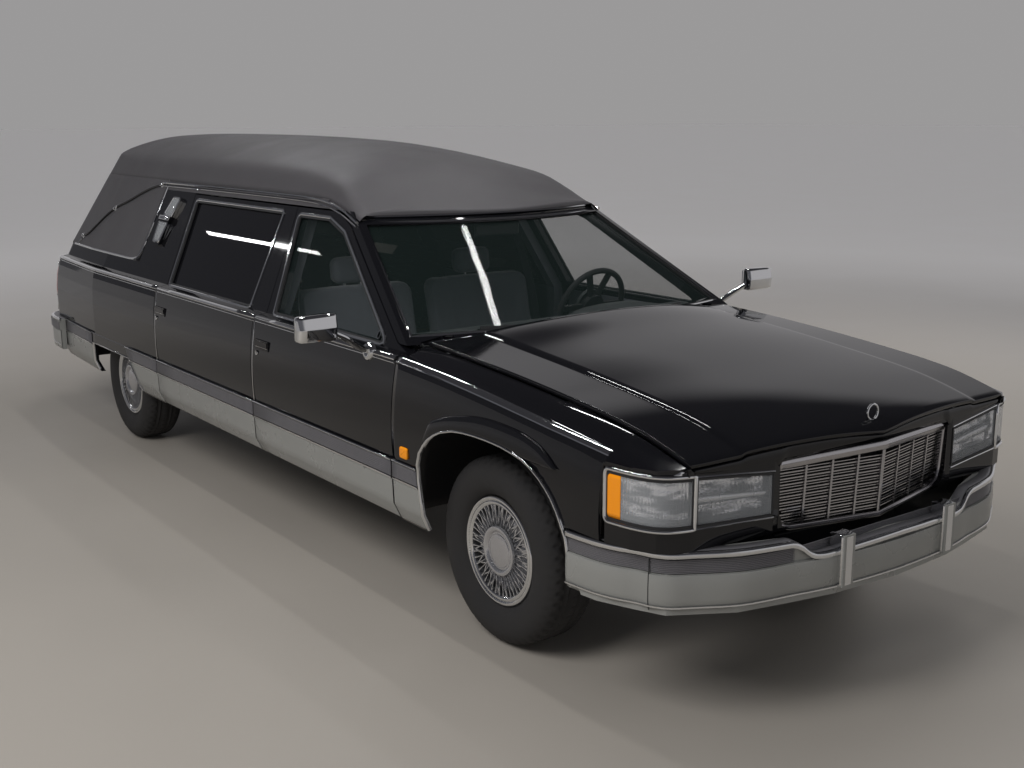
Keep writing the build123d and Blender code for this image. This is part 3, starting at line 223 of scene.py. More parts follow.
def curveThrough(points):
    # smooth line through (place, value) pairs, straight on past its ends
    px, py = (np.array(v, float) for v in zip(*sorted(points)))
    slopes = np.diff(py) / np.diff(px)
    tangents = np.concatenate([[slopes[0]], (slopes[:-1] + slopes[1:]) / 2, [slopes[-1]]])

    def value(at):
        if at <= px[0]:
            return py[0] + slopes[0] * (at - px[0])
        if at >= px[-1]:
            return py[-1] + slopes[-1] * (at - px[-1])
        i = int(np.searchsorted(px, at, side="right")) - 1
        h = px[i + 1] - px[i]
        t = (at - px[i]) / h
        return (
            (2 * t**3 - 3 * t**2 + 1) * py[i]
            + (t**3 - 2 * t**2 + t) * h * tangents[i]
            + (3 * t**2 - 2 * t**3) * py[i + 1]
            + (t**3 - t**2) * h * tangents[i + 1]
        )

    return value


def pathThrough(points, steps):
    # even points on a smooth curve through the given ones
    points = [Vector(p) for p in points]
    far = [0.0]
    for a, b in zip(points, points[1:]):
        far.append(far[-1] + (b - a).length)
    axes = [curveThrough(list(zip(far, [p[i] for p in points]))) for i in range(len(points[0]))]
    return [Vector([f(far[-1] * k / steps) for f in axes]) for k in range(steps + 1)]


def piece(name, verts, faces, look, body, sharp=35, swap=False, weld=False):
    mesh = bpy.data.meshes.new(name)
    if swap:
        faces = [tuple(reversed(f)) for f in faces]
    mesh.from_pydata([tuple(v) for v in verts], [], faces)
    if weld:
        work = bmesh.new()
        work.from_mesh(mesh)
        bmesh.ops.remove_doubles(work, verts=work.verts, dist=2e-5)
        bmesh.ops.dissolve_degenerate(work, dist=2e-5, edges=work.edges)
        work.to_mesh(mesh)
        work.free()
    mesh.materials.append(looks[look])
    mesh.polygons.foreach_set("use_smooth", [True] * len(mesh.polygons))
    mesh.set_sharp_from_angle(angle=math.radians(sharp))
    obj = bpy.data.objects.new(name, mesh)
    bpy.context.scene.collection.objects.link(obj)
    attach(obj, body)
    return obj


def gridFaces(rows, columns, ring=False):
    faces = []
    for i in range(rows - 1):
        for j in range(columns if ring else columns - 1):
            k = (j + 1) % columns
            faces.append((i * columns + j, i * columns + k, (i + 1) * columns + k, (i + 1) * columns + j))
    return faces


def shell(obj, thick, edge=0.0):
    inward = obj.modifiers.new("thickness", "SOLIDIFY")
    inward.thickness, inward.offset, inward.use_even_offset = thick / 1000, -1, True
    if edge:
        rounding(obj, edge)
    return obj


def rounding(obj, width, segments=2, angle=40):
    bevel = obj.modifiers.new("edges", "BEVEL")
    bevel.width, bevel.segments = width / 1000, segments
    bevel.limit_method, bevel.angle_limit = "ANGLE", math.radians(angle)
    bevel.harden_normals = False
    return obj


def turnFacesOut(obj):
    work = bmesh.new()
    work.from_mesh(obj.data)
    bmesh.ops.recalc_face_normals(work, faces=work.faces)
    work.to_mesh(obj.data)
    work.free()


def sweep(name, path, outward, profile, look, body, ring=False, sharp=35):
    # a section carried along a path: profile points are (across, out), outward is the direction of out
    # all along the path, or a list with one for each of its points
    verts, count = [], len(path)
    for i, p in enumerate(path):
        ahead = (path[(i + 1) % count] if ring or i < count - 1 else p) - (path[i - 1] if ring or i else p)
        out = outward[i] if isinstance(outward, list) else Vector(outward)
        out = (out - ahead.normalized() * out.dot(ahead.normalized())).normalized()
        aside = ahead.normalized().cross(out)
        verts += [p + aside * a / 1000 + out * b / 1000 for a, b in profile]
    n = len(profile)
    faces = gridFaces(count, n, ring=True)
    if ring:
        faces += [((count - 1) * n + j, (count - 1) * n + (j + 1) % n, (j + 1) % n, j) for j in range(n)]
    else:
        faces += [tuple(reversed(range(n))), tuple(range((count - 1) * n, count * n))]
    obj = piece(name, verts, faces, look, body, sharp)
    turnFacesOut(obj)
    return obj


def turnedFaces(count, n):
    # faces of a profile of n points turned through a whole circle
    return [
        (k * n + j, k * n + j + 1, ((k + 1) % count) * n + j + 1, ((k + 1) % count) * n + j)
        for k in range(count) for j in range(n - 1)
    ]


def lathe(name, profile, centre, steps, look, body, sharp=35, flip=1):
    # profile points are (out along the axle, radius)
    verts = []
    for k in range(steps):
        a = 2 * math.pi * k / steps
        verts += [
            centre + Vector((flip * x / 1000, math.cos(a) * r / 1000, math.sin(a) * r / 1000)) for x, r in profile
        ]
    return piece(name, verts, turnedFaces(steps, len(profile)), look, body, sharp, swap=flip > 0)


def patch(name, us, vs, at, facing, look, body, thick=3, edge=0.0, sharp=35):
    # a sheet over a grid of (u, v), its outer face turned towards facing, thickened inward
    verts = [at(u, v) for u in us for v in vs]
    faces = gridFaces(len(us), len(vs))
    middle = faces[len(faces) // 2]
    a, b, c = (verts[i] for i in middle[:3])
    swap = (b - a).cross(c - b).dot(Vector(facing)) < 0
    obj = piece(name, verts, faces, look, body, sharp, swap)
    return shell(obj, thick, edge) if thick else obj


def steps(a, b, count):
    return [a + (b - a) * k / count for k in range(count + 1)]


def oval(a, b, count):
    return [(a * math.cos(turn), b * math.sin(turn)) for turn in steps(0, 2 * math.pi, count)[:-1]]


def barProfile(half, low, high, topHalf=None):
    # section of a flat bar, its top narrower where topHalf says so
    top = topHalf or half
    return [(-half, low), (half, low), (top, high), (-top, high)]


def beadProfile(half, low, shoulder, flat, top):
    # section of a bead: foot, shoulders, and a flat of this half width on top or a ridge where it is 0
    crest = [(flat, top), (-flat, top)] if flat else [(0, top)]
    return [(-half, low), (half, low), (half, shoulder), *crest, (-half, shoulder)]


def block(name, centre, size, look, body, soft=8):
    # a block with rounded edges
    verts = [
        centre + Vector((i * size[0] / 2000, j * size[1] / 2000, k * size[2] / 2000))
        for i in (-1, 1) for j in (-1, 1) for k in (-1, 1)
    ]
    faces = [(0, 1, 3, 2), (4, 6, 7, 5), (0, 4, 5, 1), (2, 3, 7, 6), (0, 2, 6, 4), (1, 5, 7, 3)]
    return rounding(piece(name, verts, faces, look, body), soft, 4, 20)


def roundOutline(points, radius, count=5):
    # closed outline in two coordinates with its corners rounded
    result = []
    for i, p in enumerate(points):
        a, p, b = Vector(points[i - 1]), Vector(p), Vector(points[(i + 1) % len(points)])
        toA, toB = (a - p).normalized(), (b - p).normalized()
        half = math.acos(max(-1, min(1, toA.dot(toB)))) / 2
        reach = min(radius / math.tan(half), 0.45 * (a - p).length, 0.45 * (b - p).length)
        start, end = p + toA * reach, p + toB * reach
        for k in range(count + 1):
            t = k / count
            result.append(start * (1 - t) ** 2 + p * 2 * t * (1 - t) + end * t**2)
    return result


def grownOutline(points, amount):
    # closed outline moved outwards square to itself
    points = [Vector(p) for p in points]
    area = sum(a.x * b.y - b.x * a.y for a, b in zip(points, points[1:] + points[:1]))
    turn, result = (1 if area > 0 else -1), []
    for i, p in enumerate(points):
        before, after = (p - points[i - 1]).normalized(), (points[(i + 1) % len(points)] - p).normalized()
        n1, n2 = Vector((before.y, -before.x)) * turn, Vector((after.y, -after.x)) * turn
        bisect = (n1 + n2).normalized()
        result.append(p + bisect * amount / max(0.4, bisect.dot(n1)))
    return result


def capped(rows, n):
    # faces of closed rings of n points, with both ends shut
    return gridFaces(rows, n, ring=True) + [tuple(reversed(range(n))), tuple(range((rows - 1) * n, rows * n))]


def millimetrePath(points, count):
    # even (a, b) points on a smooth curve through points in millimetres
    path = pathThrough([(a / 1000, b / 1000, 0) for a, b in points], count)
    return [(p.x * 1000, p.y * 1000) for p in path]


# body side
flankArc = {"low": (984, 600), "middle": (986, 790), "high": (962, 1000)}
glassLean = {"half": 903, "base": 1016, "slope": 0.479}


def arcThrough(a, b, c):
    # centre and radius of the circle through three points
    (ax, ay), (bx, by), (cx, cy) = a, b, c
    d = 2 * (ax * (by - cy) + bx * (cy - ay) + cx * (ay - by))
    ux = ((ax**2 + ay**2) * (by - cy) + (bx**2 + by**2) * (cy - ay) + (cx**2 + cy**2) * (ay - by)) / d
    uy = ((ax**2 + ay**2) * (cx - bx) + (bx**2 + by**2) * (ax - cx) + (cx**2 + cy**2) * (bx - ax)) / d
    return ux, uy, math.hypot(ax - ux, ay - uy)


flankCentre = arcThrough(flankArc["low"], flankArc["middle"], flankArc["high"])
# the leaning side plane: its slope, its outward direction, and the length of (1, slope)
lean = glassLean["slope"]
sideNormals = {s: Vector((s, 0, lean)).normalized() for s in (1, -1)}
leanLength = 1.109


def glassHalf(z):
    # half width of the leaning side plane at a height
    return glassLean["half"] - lean * (z - glassLean["base"])


def sideHalf(z):
    # half width of the outer surface at a height
    if z < 420:
        return 950 + 30 * (z - 350) / 70
    if z < 600:
        return 980 + 4 * min(1, (z - 420) / 108)
    if z <= 1000:
        x, y, r = flankCentre
        return x + math.sqrt(r**2 - (z - y) ** 2)
    if z < glassLean["base"]:
        return 962 + (glassLean["half"] - 962) * (z - 1000) / 16
    return glassHalf(z)


def edgeShift(z):
    # the door edges are planes that lean in plan, so on the curved skin they bow rearwards
    z = min(max(z, 356), 985)
    return 0.364 * (sideHalf(z) - (952.6 + 14 * (z - 356) / 629))


# front fenders
fender = {
    "crease": curveThrough([(549, 1009), (172, 988), (-253, 950), (-697, 898), (-800, 880), (-928, 862)]),
    "gap": curveThrough([(560, 1037), (182, 1017), (-293, 979), (-697, 930), (-800, 905), (-934, 868)]),
    "arch": [
        (366, 600), (362, 620), (342, 672), (312, 708), (280, 737), (240, 762), (194, 783), (118, 803), (52, 811),
        (-15, 814), (-95, 814), (-177, 810), (-240, 801), (-297, 790), (-348, 770), (-392, 746), (-424, 721),
        (-453, 692), (-478, 656), (-494, 624), (-502, 606),
    ],
    "plan": [
        (984, 541), (984, 366), (984, 100), (981, -200), (977, -400), (968, -560), (958, -676), (941, -792),
        (912, -868), (868, -905), (823, -926),
    ],
    "rows": 22,
    "lampTop": 850,
    "inner": 822.5,
}
archBottom = curveThrough(fender["arch"])


def fenderLow(d):
    if d > 366.5:
        return 350
    if d > -502:
        return archBottom(d)
    if d > -668:
        return 604
    return fender["lampTop"]


def planAt(d):
    # outer half width of the fender at a distance
    pts = fender["plan"]
    for (x0, d0), (x1, d1) in zip(pts, pts[1:]):
        if d1 <= d <= d0:
            return x0 + (x1 - x0) * (d0 - d) / (d0 - d1)
    return pts[-1][0]


def fenderHalf(d, z):
    return planAt(d) - fender["plan"][0][0] + sideHalf(min(z, 985))


fenderColumns = [
    541, 520, 480, 440, 400, 380, 367, 366, 365, 364, 362, 360, 356, 350, 342, 332, 322, 312, 296, 280, 260, 240, 217,
    194, 156, 118, 85, 52, 18, -15, -55, -95, -136, -177, -210, -240, -270, -297, -322, -348, -370, -392, -408, -424,
    -438, -453, -466, -478, -486, -494, -499, -502, -503, -540, -580, -620, -650, -667, -669, -700, -740, -770, -792,
    -815, -840, -868, -885, -905, -915, -926,
]
for sideName, s in sides:
    verts = []
    for d in fenderColumns:
        crease, gap = fender["crease"](d), fender["gap"](d)
        low = fenderLow(d)
        column = []
        for k in range(fender["rows"]):
            z = 350 + (crease - 16 - 350) * k / (fender["rows"] - 1)
            z = max(z, min(low, crease - 16))
            column.append((fenderHalf(d, z + (1000 - crease) * max(0, (z - 600) / (crease - 600))), z))
        top = column[-1][0]
        edge = fender["inner"]
        reach = max(top - edge, 1)
        column += [
            (top - reach * f, crease - 16 + rise) for f, rise in ((0.03, 6), (0.07, 11), (0.12, 14.2), (0.16, 15.2))
        ]
        inner, rise = top - reach * 0.16, gap - crease + 0.8
        column += [
            (inner - (inner - edge) * f, crease - 0.8 + rise * g)
            for f, g in ((0.12, 0.06), (0.3, 0.3), (0.5, 0.56), (0.7, 0.78), (0.9, 0.95), (0.98, 0.99))
        ]
        column += [(edge, gap - 2), (edge, gap - 22)]
        verts += [spot(s * x, d + (edgeShift(z) - 1) * min(1, max(0, (d - 366) / 175)), z) for x, z in column]
    obj = piece(
        f"fender_skin_{sideName}", verts, gridFaces(len(fenderColumns), len(verts) // len(fenderColumns)), "black",
        "body", swap=s < 0, weld=True, sharp=28,
    )
    shell(obj, 3)
    if s > 0:
        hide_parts("front_fenders")

# hood
hood = {
    "thick": 18,
    "centre": curveThrough(
        [
            (545, 1106), (400, 1098), (150, 1063), (-126, 1030), (-400, 992), (-690, 950), (-870, 914), (-953, 890),
            (-990, 872), (-1004, 858),
        ]
    ),
    "edge": curveThrough([(560, 1037), (182, 1017), (-293, 979), (-697, 930), (-800, 905), (-890, 878), (-934, 862)]),
    "crease": 600,
    "half": 817,
    "step": 7,
    "rear": (400, 541),
    "front": [(0, -1000), (60, -995), (200, -978), (472, -946), (640, -932), (793, -920), (817, -917)],
}
hoodFront = curveThrough(hood["front"])
acrossHood = [
    0, 60, 120, 190, 260, 330, 400, 460, 510, 550, 575, 588, 596, 602, 608, 614, 622, 640, 670, 700, 730, 760, 785,
    803, 813, 817,
]


def hoodHeight(x, d):
    x = abs(x)
    centre, edge = hood["centre"](d), hood["edge"](d)
    crease = edge + (centre - edge) * 0.3
    lip = min(1, max(0, (x - 590) / 26))
    drop = hood["step"] * (3 * lip**2 - 2 * lip**3)
    if x < hood["crease"]:
        return crease + (centre - crease) * (1 - (x / hood["crease"]) ** 2) + hood["step"] - drop
    t = (x - hood["crease"]) / (hood["half"] - hood["crease"])
    return crease + (edge - crease) * t + hood["step"] * (1 - t) - drop * (1 - t)


def hoodPlace(x, t):
    # distance at a share of the way from the hood's rear edge to its front one
    rear = hood["rear"][0] + (hood["rear"][1] - hood["rear"][0]) * (x / hood["half"]) ** 2
    front = hoodFront(abs(x))
    return rear + (front - rear) * t


hoodRows = 46
hoodXs = [-x for x in reversed(acrossHood[1:])] + acrossHood
verts = []
for i in range(hoodRows + 1):
    for x in hoodXs:
        d = hoodPlace(x, i / hoodRows)
        verts.append(spot(x, d, hoodHeight(x, d)))
hoodSkin = piece(
    "hood_skin", verts, gridFaces(hoodRows + 1, len(hoodXs)), "black", "hood_lid", sharp=50
)
shell(hoodSkin, hood["thick"], 4)
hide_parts("hood")
print("fenders and hood")


# trims along the body side
def doorBody(door, sideName):
    return f"{door}_{sideName}_door" if door else "body"


archRear = curveThrough([(300, 3400), (426, 3436), (486, 3507), (540, 3549)])


taperStart = 4150
cornerHalf = curveThrough([(350, 905), (420, 936), (602, 937), (790, 937), (1000, 902)])


def taper(d, z):
    # how far the rear quarter has drawn in
    return max(0, (d - taperStart) / (5120 - taperStart)) * (sideHalf(z) - cornerHalf(z))


# name, where it starts and ends on the outer skin, and the door that it is on
sideSpans = [
    ("fender", lambda z: 371 - max(0, 575 - z) * 0.135, lambda z: 538 + edgeShift(z), None),
    ("front_door", lambda z: 549 + edgeShift(z), lambda z: 1814.5 + edgeShift(z), "front"),
    ("rear_door", lambda z: 1825.5 + edgeShift(z), lambda z: 3074.5 + edgeShift(z), "rear"),
    ("quarter", lambda z: 3085.5 + edgeShift(z), lambda z: archRear(z) - 4, None),
    ("rear_quarter", lambda z: 4216, lambda z: 4836, None),
]


def sideRun(name, span, s, rows, look, body, thick, columns=8, edge=0.0):
    # a band along the side: rows are (height, how far proud)
    first, last = span

    def at(u, row):
        z, out = row
        d = first(z) + (last(z) - first(z)) * u
        return spot(s * (sideHalf(z) + out - taper(d, z)), d, z)

    return patch(name, steps(0, 1, columns), rows, at, (s, 0, 0), look, body, thick, edge, 30)


claddingRows = [(z, 3.0) for z in (360, 372, 388, 404, 420, 440, 462, 486, 508, 522)]
ribRows = [
    (z + dz, out) for z in np.arange(533, 592, 7.6) for dz, out in ((0, 6.0), (1.4, 8.2), (5.2, 8.2), (6.6, 6.0))
]
beadRows = {
    "foot": [(521, 4.0), (522.5, 7.0), (526, 8.4), (530, 8.0), (532, 5.0)],
    "head": [(595, 6.0), (597, 10.5), (600.5, 11.5), (604, 9.5), (605.5, 3.0)],
}
for sideName, s in sides:
    for spanName, first, last, door in sideSpans:
        body = doorBody(door, sideName)
        tag = f"{spanName}_{sideName}"
        sideRun(f"cladding_{tag}", (first, last), s, claddingRows, "cladding", body, 2.4, edge=0.8)
        sideRun(f"ribbed_strip_{tag}", (first, last), s, ribRows, "stripGrey", body, 2.0, columns=4)
        for row, beads in beadRows.items():
            sideRun(f"strip_bead_{row}_{tag}", (first, last), s, beads, "chrome", body, 1.5, columns=6)

# belt moulding at the foot of the glass, and its thin line below
beltRows = [(993, 0.6), (995, 4.0), (999, 6.0), (1004, 6.4), (1009, 5.5), (1012, 1.0)]
thinRows = [(981, 0.4), (982.5, 2.2), (985, 2.2), (986.5, 0.4)]
beltBands = (("belt_moulding", beltRows), ("belt_line", thinRows))


def beltHalf(z):
    # the moulding stands over the bend between flank and glass
    return sideHalf(min(z, 1000)) - max(0, z - 1000) * 1.1


beltSpans = [
    ("front_door", 556, 1815, "front"),
    ("rear_door", 1825, 3075, "rear"),
    ("quarter", 3085, 5010, None),
]
for sideName, s in sides:
    for spanName, d0, d1, door in beltSpans:
        body = doorBody(door, sideName)
        tag = f"{spanName}_{sideName}"
        for kind, rows in beltBands:
            patch(
                f"{kind}_{tag}", steps(d0, d1, 24 if not door else 6), rows,
                lambda d, row: spot(s * (beltHalf(row[0]) + row[1] - taper(d, min(row[0], 1000))), d, row[0]),
                (s, 0, 0.2), "chrome", body, 1.6,
            )
    # on along the fender's crease to the nose
    creaseRows = [
        (0.3, 0, -20), (4.8, 0, -17), (5.0, 0.02, -11), (4.2, 0.05, -6), (3.0, 0.09, -1.0), (1.2, 0.13, 1.6),
        (-0.5, 0.17, -0.8),
    ]

    def onCrease(d, row):
        out, share, rise = row
        top = fenderHalf(d, 985)
        return spot(s * (top - share * (top - fender["inner"]) + out), d, fender["crease"](d) + rise)

    patch(
        f"crease_moulding_{sideName}", steps(536, -868, 60) + [-876, -884, -892, -898, -904, -908, -912], creaseRows,
        onCrease, (s, 0, 0.3), "chrome", "body", 1.6,
    )
    # edge guards at the rear edges of both doors
    for door, d in (("front", 1817), ("rear", 3077)):
        zs = steps(606, 978, 20)
        path = [spot(s * (sideHalf(z) + 0.4), d - 2.5 + edgeShift(z), z) for z in zs]
        sweep(
            f"edge_guard_{door}_{sideName}", path, (s, 0, 0), beadProfile(3.2, -1, 1.2, 0, 2.4), "chrome",
            doorBody(door, sideName),
        )
print("side trims")


# window surrounds and drip mouldings
def onGlass(s, d, z, out=0.0):
    # a point on the leaning side plane, moved out square to it
    return spot(s * (glassHalf(z) + out / leanLength), d, z + out * lean / leanLength)


windows = {
    "front": [(722, 1024), (1380, 1408), (1556, 1458), (1857, 1458), (1735, 1024)],
    "rear": [(2010, 1024), (2032, 1462), (3110, 1462), (3040, 1024)],
}
trimProfile = beadProfile(7, -2, 3, 4, 5.5)
rubberProfile = barProfile(5, -8, 1.5)
for sideName, s in sides:
    for door, outline in windows.items():
        body = doorBody(door, sideName)
        for kind, grow, profile, look in (
            ("window_trim", 9, trimProfile, "chrome"), ("window_rubber", -2, rubberProfile, "plastic")
        ):
            ring = roundOutline(grownOutline(outline, grow), 26 if grow > 0 else 18)
            path = [onGlass(s, p.x, p.y, 0.5) for p in ring]
            sweep(f"{kind}_{door}_{sideName}", path, sideNormals[s], profile, look, body, ring=True)
    # double drip moulding from the side bar's head forward and down to the windshield's corner
    dripLine = [
        (3686, 1538), (3200, 1541), (2600, 1543), (2100, 1543), (1827, 1541), (1690, 1535), (1564, 1521),
        (1440, 1496), (1350, 1472), (1301, 1458),
    ]
    for k, (drop, half, proud) in enumerate(((0, 6, 10), (17, 3, 4))):
        path = [onGlass(s, d, z - drop, 2.5) for d, z in millimetrePath(dripLine, 70)]
        profile = beadProfile(half, -3, proud * 0.5, half * 0.4, proud)
        sweep(f"drip_moulding_{k + 1}_{sideName}", path, sideNormals[s], profile, "chrome", "body")

# windshield surround
screen = {"low": (1040, 893, 577, 455), "top": (1480, 679, 1345, 1176)}


def onScreen(share, z, out=0.0, trim=0.0):
    # share runs from -1 to 1 across the bowed glass
    t = (z - screen["low"][0]) / (screen["top"][0] - screen["low"][0])
    half, corner, middle = (a + (b - a) * t for a, b in zip(screen["low"][1:], screen["top"][1:]))
    half -= trim
    return spot(share * half, middle + (corner - middle) * share**2 - out, z)


screenRing = (
    [onScreen(u, 1063, 1, 31) for u in steps(-1, 1, 40)]
    + [onScreen(1, z, 1, 31) for z in steps(1063, 1455, 12)[1:]]
    + [onScreen(u, 1455, 1, 31) for u in steps(1, -1, 40)[1:]]
    + [onScreen(-1, z, 1, 31) for z in steps(1455, 1063, 12)[1:-1]]
)
screenOut = Vector((0, -0.86, 0.5))
sweep("windshield_seal", screenRing, screenOut, barProfile(9, -10, 2), "plastic", "body", ring=True)
sweep(
    "windshield_moulding", [p + Vector((0, -0.001, 0.0006)) for p in screenRing], screenOut, barProfile(3, 0, 4),
    "chrome", "body", ring=True,
)
print("glass trims")

# roof covering
roof = {
    "shoulder": curveThrough(
        [
            (1130, 1452), (1330, 1500), (1450, 1560), (1600, 1622), (1850, 1660), (2200, 1676), (2700, 1682),
            (3700, 1682), (4500, 1682), (5300, 1676),
        ]
    ),
    "crown": curveThrough(
        [
            (1130, 1478), (1330, 1568), (1450, 1626), (1600, 1684), (1850, 1744), (2200, 1784), (2700, 1804),
            (3700, 1814), (4500, 1808), (5300, 1780),
        ]
    ),
    "foot": curveThrough(
        [
            (1301, 1466), (1350, 1480), (1440, 1504), (1564, 1529), (1690, 1543), (1827, 1549), (2100, 1551),
            (5000, 1551),
        ]
    ),
    "lift": 1.6,
    "tail": 4400,
}
# the raked tail: height, half width along the side, at the corner, corner distance, middle distance, radius
tailRows = [
    (1016, 923, 856, 5090, 5142, 128), (1095, 885.2, 826, 5062, 5120, 130), (1880, 509.1, 455, 4672, 4730, 110)
]


def tailAt(z):
    for low, high in zip(tailRows, tailRows[1:]):
        if z <= high[0]:
            break
    t = (z - low[0]) / (high[0] - low[0])
    return [a + (b - a) * t for a, b in zip(low[1:], high[1:])]


def tailHalf(z, d):
    # half width of the tapering tail, drawn in round its corner
    side, corner, cornerD, middleD, radius = tailAt(z)
    half = side - (side - corner) * max(0, d - taperStart) / (cornerD - taperStart)
    into = d - (cornerD - radius * 0.8)
    if into > 0:
        half -= radius * (1 - math.sqrt(max(0, 1 - min(1, into / radius) ** 2)))
    return half


def tailEnd(x, z):
    side, corner, cornerD, middleD, radius = tailAt(z)
    return middleD - (middleD - cornerD) * min(1, abs(x) / corner) ** 2


def roofSection(d, count):
    # from the foot of the covering over the shoulder to the middle
    shoulder, crown, foot = roof["shoulder"](d), roof["crown"](d), roof["foot"](d)
    rise = crown - shoulder
    blend = min(62, rise * 0.9)
    low = Vector((glassHalf(shoulder - blend), shoulder - blend))
    high = Vector((glassHalf(shoulder) - blend * 0.95, shoulder + rise * 0.1))
    slope = -2 * (crown - high.y) / high.x
    # where the side line meets the tangent of the top arc
    x = (glassLean["base"] + glassLean["half"] / lean - high.y + slope * high.x) / (slope + 1 / lean)
    bend = Vector((x, high.y + slope * (x - high.x)))
    line = [Vector((glassHalf(z), z)) for z in steps(min(foot, low.y) - 40, low.y, 8)]
    line += [low * (1 - t) ** 2 + bend * 2 * t * (1 - t) + high * t**2 for t in steps(0, 1, 14)[1:]]
    line += [Vector((x, crown - (crown - high.y) * (x / high.x) ** 2)) for x in steps(high.x, 0, 30)[1:]]
    for i in range(len(line) - 1):
        if line[i].y <= foot < line[i + 1].y:
            t = (foot - line[i].y) / (line[i + 1].y - line[i].y)
            line = [line[i] + (line[i + 1] - line[i]) * t] + line[i + 1 :]
            break
    far = [0.0]
    for a, b in zip(line, line[1:]):
        far.append(far[-1] + (b - a).length)
    result = []
    for k in range(count + 1):
        at = far[-1] * k / count
        i = min(max(int(np.searchsorted(far, at)) - 1, 0), len(line) - 2)
        result.append(line[i] + (line[i + 1] - line[i]) * (at - far[i]) / (far[i + 1] - far[i]))
    return result


roofCount = 34
roofRows = [
    1302, 1310, 1322, 1338, 1360, 1385, 1410, 1440, 1470, 1500, 1535, 1570, 1610, 1650, 1700, 1760, 1830, 1900, 2000,
    2100, 2250, 2400, 2600, 2800, 3050, 3300, 3600, 3900, 4150, 4300, 4400, 4500, 4580, 4640, 4680, 4710, 4740, 4765,
    4790,
]


def roofFront(x):
    # the covering's front edge over the bowed windshield
    return 1166 + 169 * (x / 679) ** 2


def roofHeight(d, x):
    # height of the covering over a place
    section = roofSection(d, 60)
    return float(np.interp(abs(x), [p.x for p in reversed(section)], [p.y for p in reversed(section)]))


# the first three rows turn down to the windshield
roofRows = roofRows[:1] * 3 + roofRows
verts = []
for row, d in enumerate(roofRows):
    section = roofSection(d, roofCount)
    full = [(p.x, p.y) for p in section] + [(-p.x, p.y) for p in reversed(section[:-1])]
    for x, z in full:
        # the front edge follows the windshield and turns down to it, the rear edge follows the raked tail
        front = min(roofRows[0], 4 + roofFront(x))
        place = d + (front - roofRows[0]) * max(0, 1 - (d - roofRows[0]) / 420) ** 1.3
        height = roofHeight(place, x) if place < d - 1 else z
        if row < 3 and abs(x) < 640:
            height += min(0, 1486 - height) * (3 - row) / 3
            place -= 2 * (3 - row)
        if d > roof["tail"]:
            share = (d - roof["tail"]) / (roofRows[-1] - roof["tail"])
            place = roof["tail"] + (tailEnd(x, z) - 3 - roof["tail"]) * share
        limit = tailHalf(z, place) if place > taperStart else 2000
        verts.append(spot(math.copysign(min(abs(x), limit), x), place, height))
frontTrim = [spot(x, roofFront(x), 1483) for x in np.linspace(-655, 655, 41)]
sweep("roof_front_trim", frontTrim, screenOut, barProfile(5, -2, 4, 4), "chrome", "body")
skin = piece("roof_covering", verts, gridFaces(len(roofRows), 2 * roofCount + 1), "vinyl", "body", sharp=60)
skin.data.update()
if sum(f.normal.z for f in skin.data.polygons) < 0:
    skin.data.flip_normals()
outward = [v.normal.copy() for v in skin.data.vertices]
for v, n in zip(skin.data.vertices, outward):
    v.co += n * roof["lift"] / 1000
shell(skin, 1.4)
print("roof covering")

for sideName, s in sides:
    # chrome border where the covering begins, round its lower corner and back to the tail
    border = [
        (3612, 1531), (3613, 1400), (3616, 1260), (3622, 1170), (3640, 1128), (3680, 1106), (3740, 1099),
        (3900, 1097), (4200, 1097), (4600, 1097), (4900, 1096),
    ]
    path = [spot(s * (min(glassHalf(z), tailHalf(z, d)) + 1), d, z + 1) for d, z in millimetrePath(border, 90)]
    sweep(
        f"covering_border_{sideName}", path, (s, 0, lean), [(-7, -2), (7, -2), (6, 3), (0, 5), (-6, 3)], "chrome",
        "body",
    )

# coach lamps
coachLamp = {
    "lantern": [(3306, 1460), (3406, 1460), (3458, 1360), (3343, 1355)],
    "collar": [(3336, 1356), (3496, 1356), (3494, 1334), (3344, 1332)],
    "lens": [(3356, 1328), (3484, 1328), (3464, 1214), (3379, 1214)],
}
for sideName, s in sides:
    for part, look, out in (("lantern", "lens", 20), ("collar", "chrome", 28), ("lens", "lens", 22)):
        ring = roundOutline(coachLamp[part], 12 if part != "collar" else 6)
        if part != "collar":
            path = [onGlass(s, p.x, p.y, out - 1) for p in ring]
            sweep(
                f"coach_lamp_{part}_rim_{sideName}", path, sideNormals[s], beadProfile(6, -18, 1, 3, 5), "chrome",
                "body", ring=True,
            )
        layers = [(1.0, 0), (0.95, 2.5), (0.8, 4), (0.4, 5)]
        middle = sum(ring, Vector((0, 0))) / len(ring)
        verts = []
        for scale, rise in layers:
            verts += [onGlass(s, p.x, p.y, out + rise) for p in (middle + (q - middle) * scale for q in ring)]
        n = len(ring)
        faces = gridFaces(len(layers), n, ring=True) + [tuple(range((len(layers) - 1) * n, len(layers) * n))]
        obj = piece(f"coach_lamp_{part}_{sideName}", verts, faces, look, "body", swap=s > 0)
        shell(obj, 2)
    # ribs behind the tall lens
    for k in range(9):
        z0, z1 = 1222, 1320
        d0, d1 = 3384 + 9 * k, 3366 + 13.2 * k
        path = [onGlass(s, d0 + (d1 - d0) * t, z0 + (z1 - z0) * t, 23.5) for t in steps(0, 1, 4)]
        sweep(
            f"coach_lamp_rib_{k + 1}_{sideName}", path, sideNormals[s], [(-2, -2), (2, -2), (0, 2.5)], "satin", "body"
        )
print("coach lamps")

# nose: lamps, grille backing, bumper
noseLine = [
    (957, -692), (950, -740), (939, -795), (922, -842), (903, -871), (877, -893), (850, -905), (820, -914),
    (793, -920),
]
innerLine = [(789, -920.5), (700, -929), (600, -938), (472, -950)]
lampCorner = {"radius": 18, "step": 1.97}


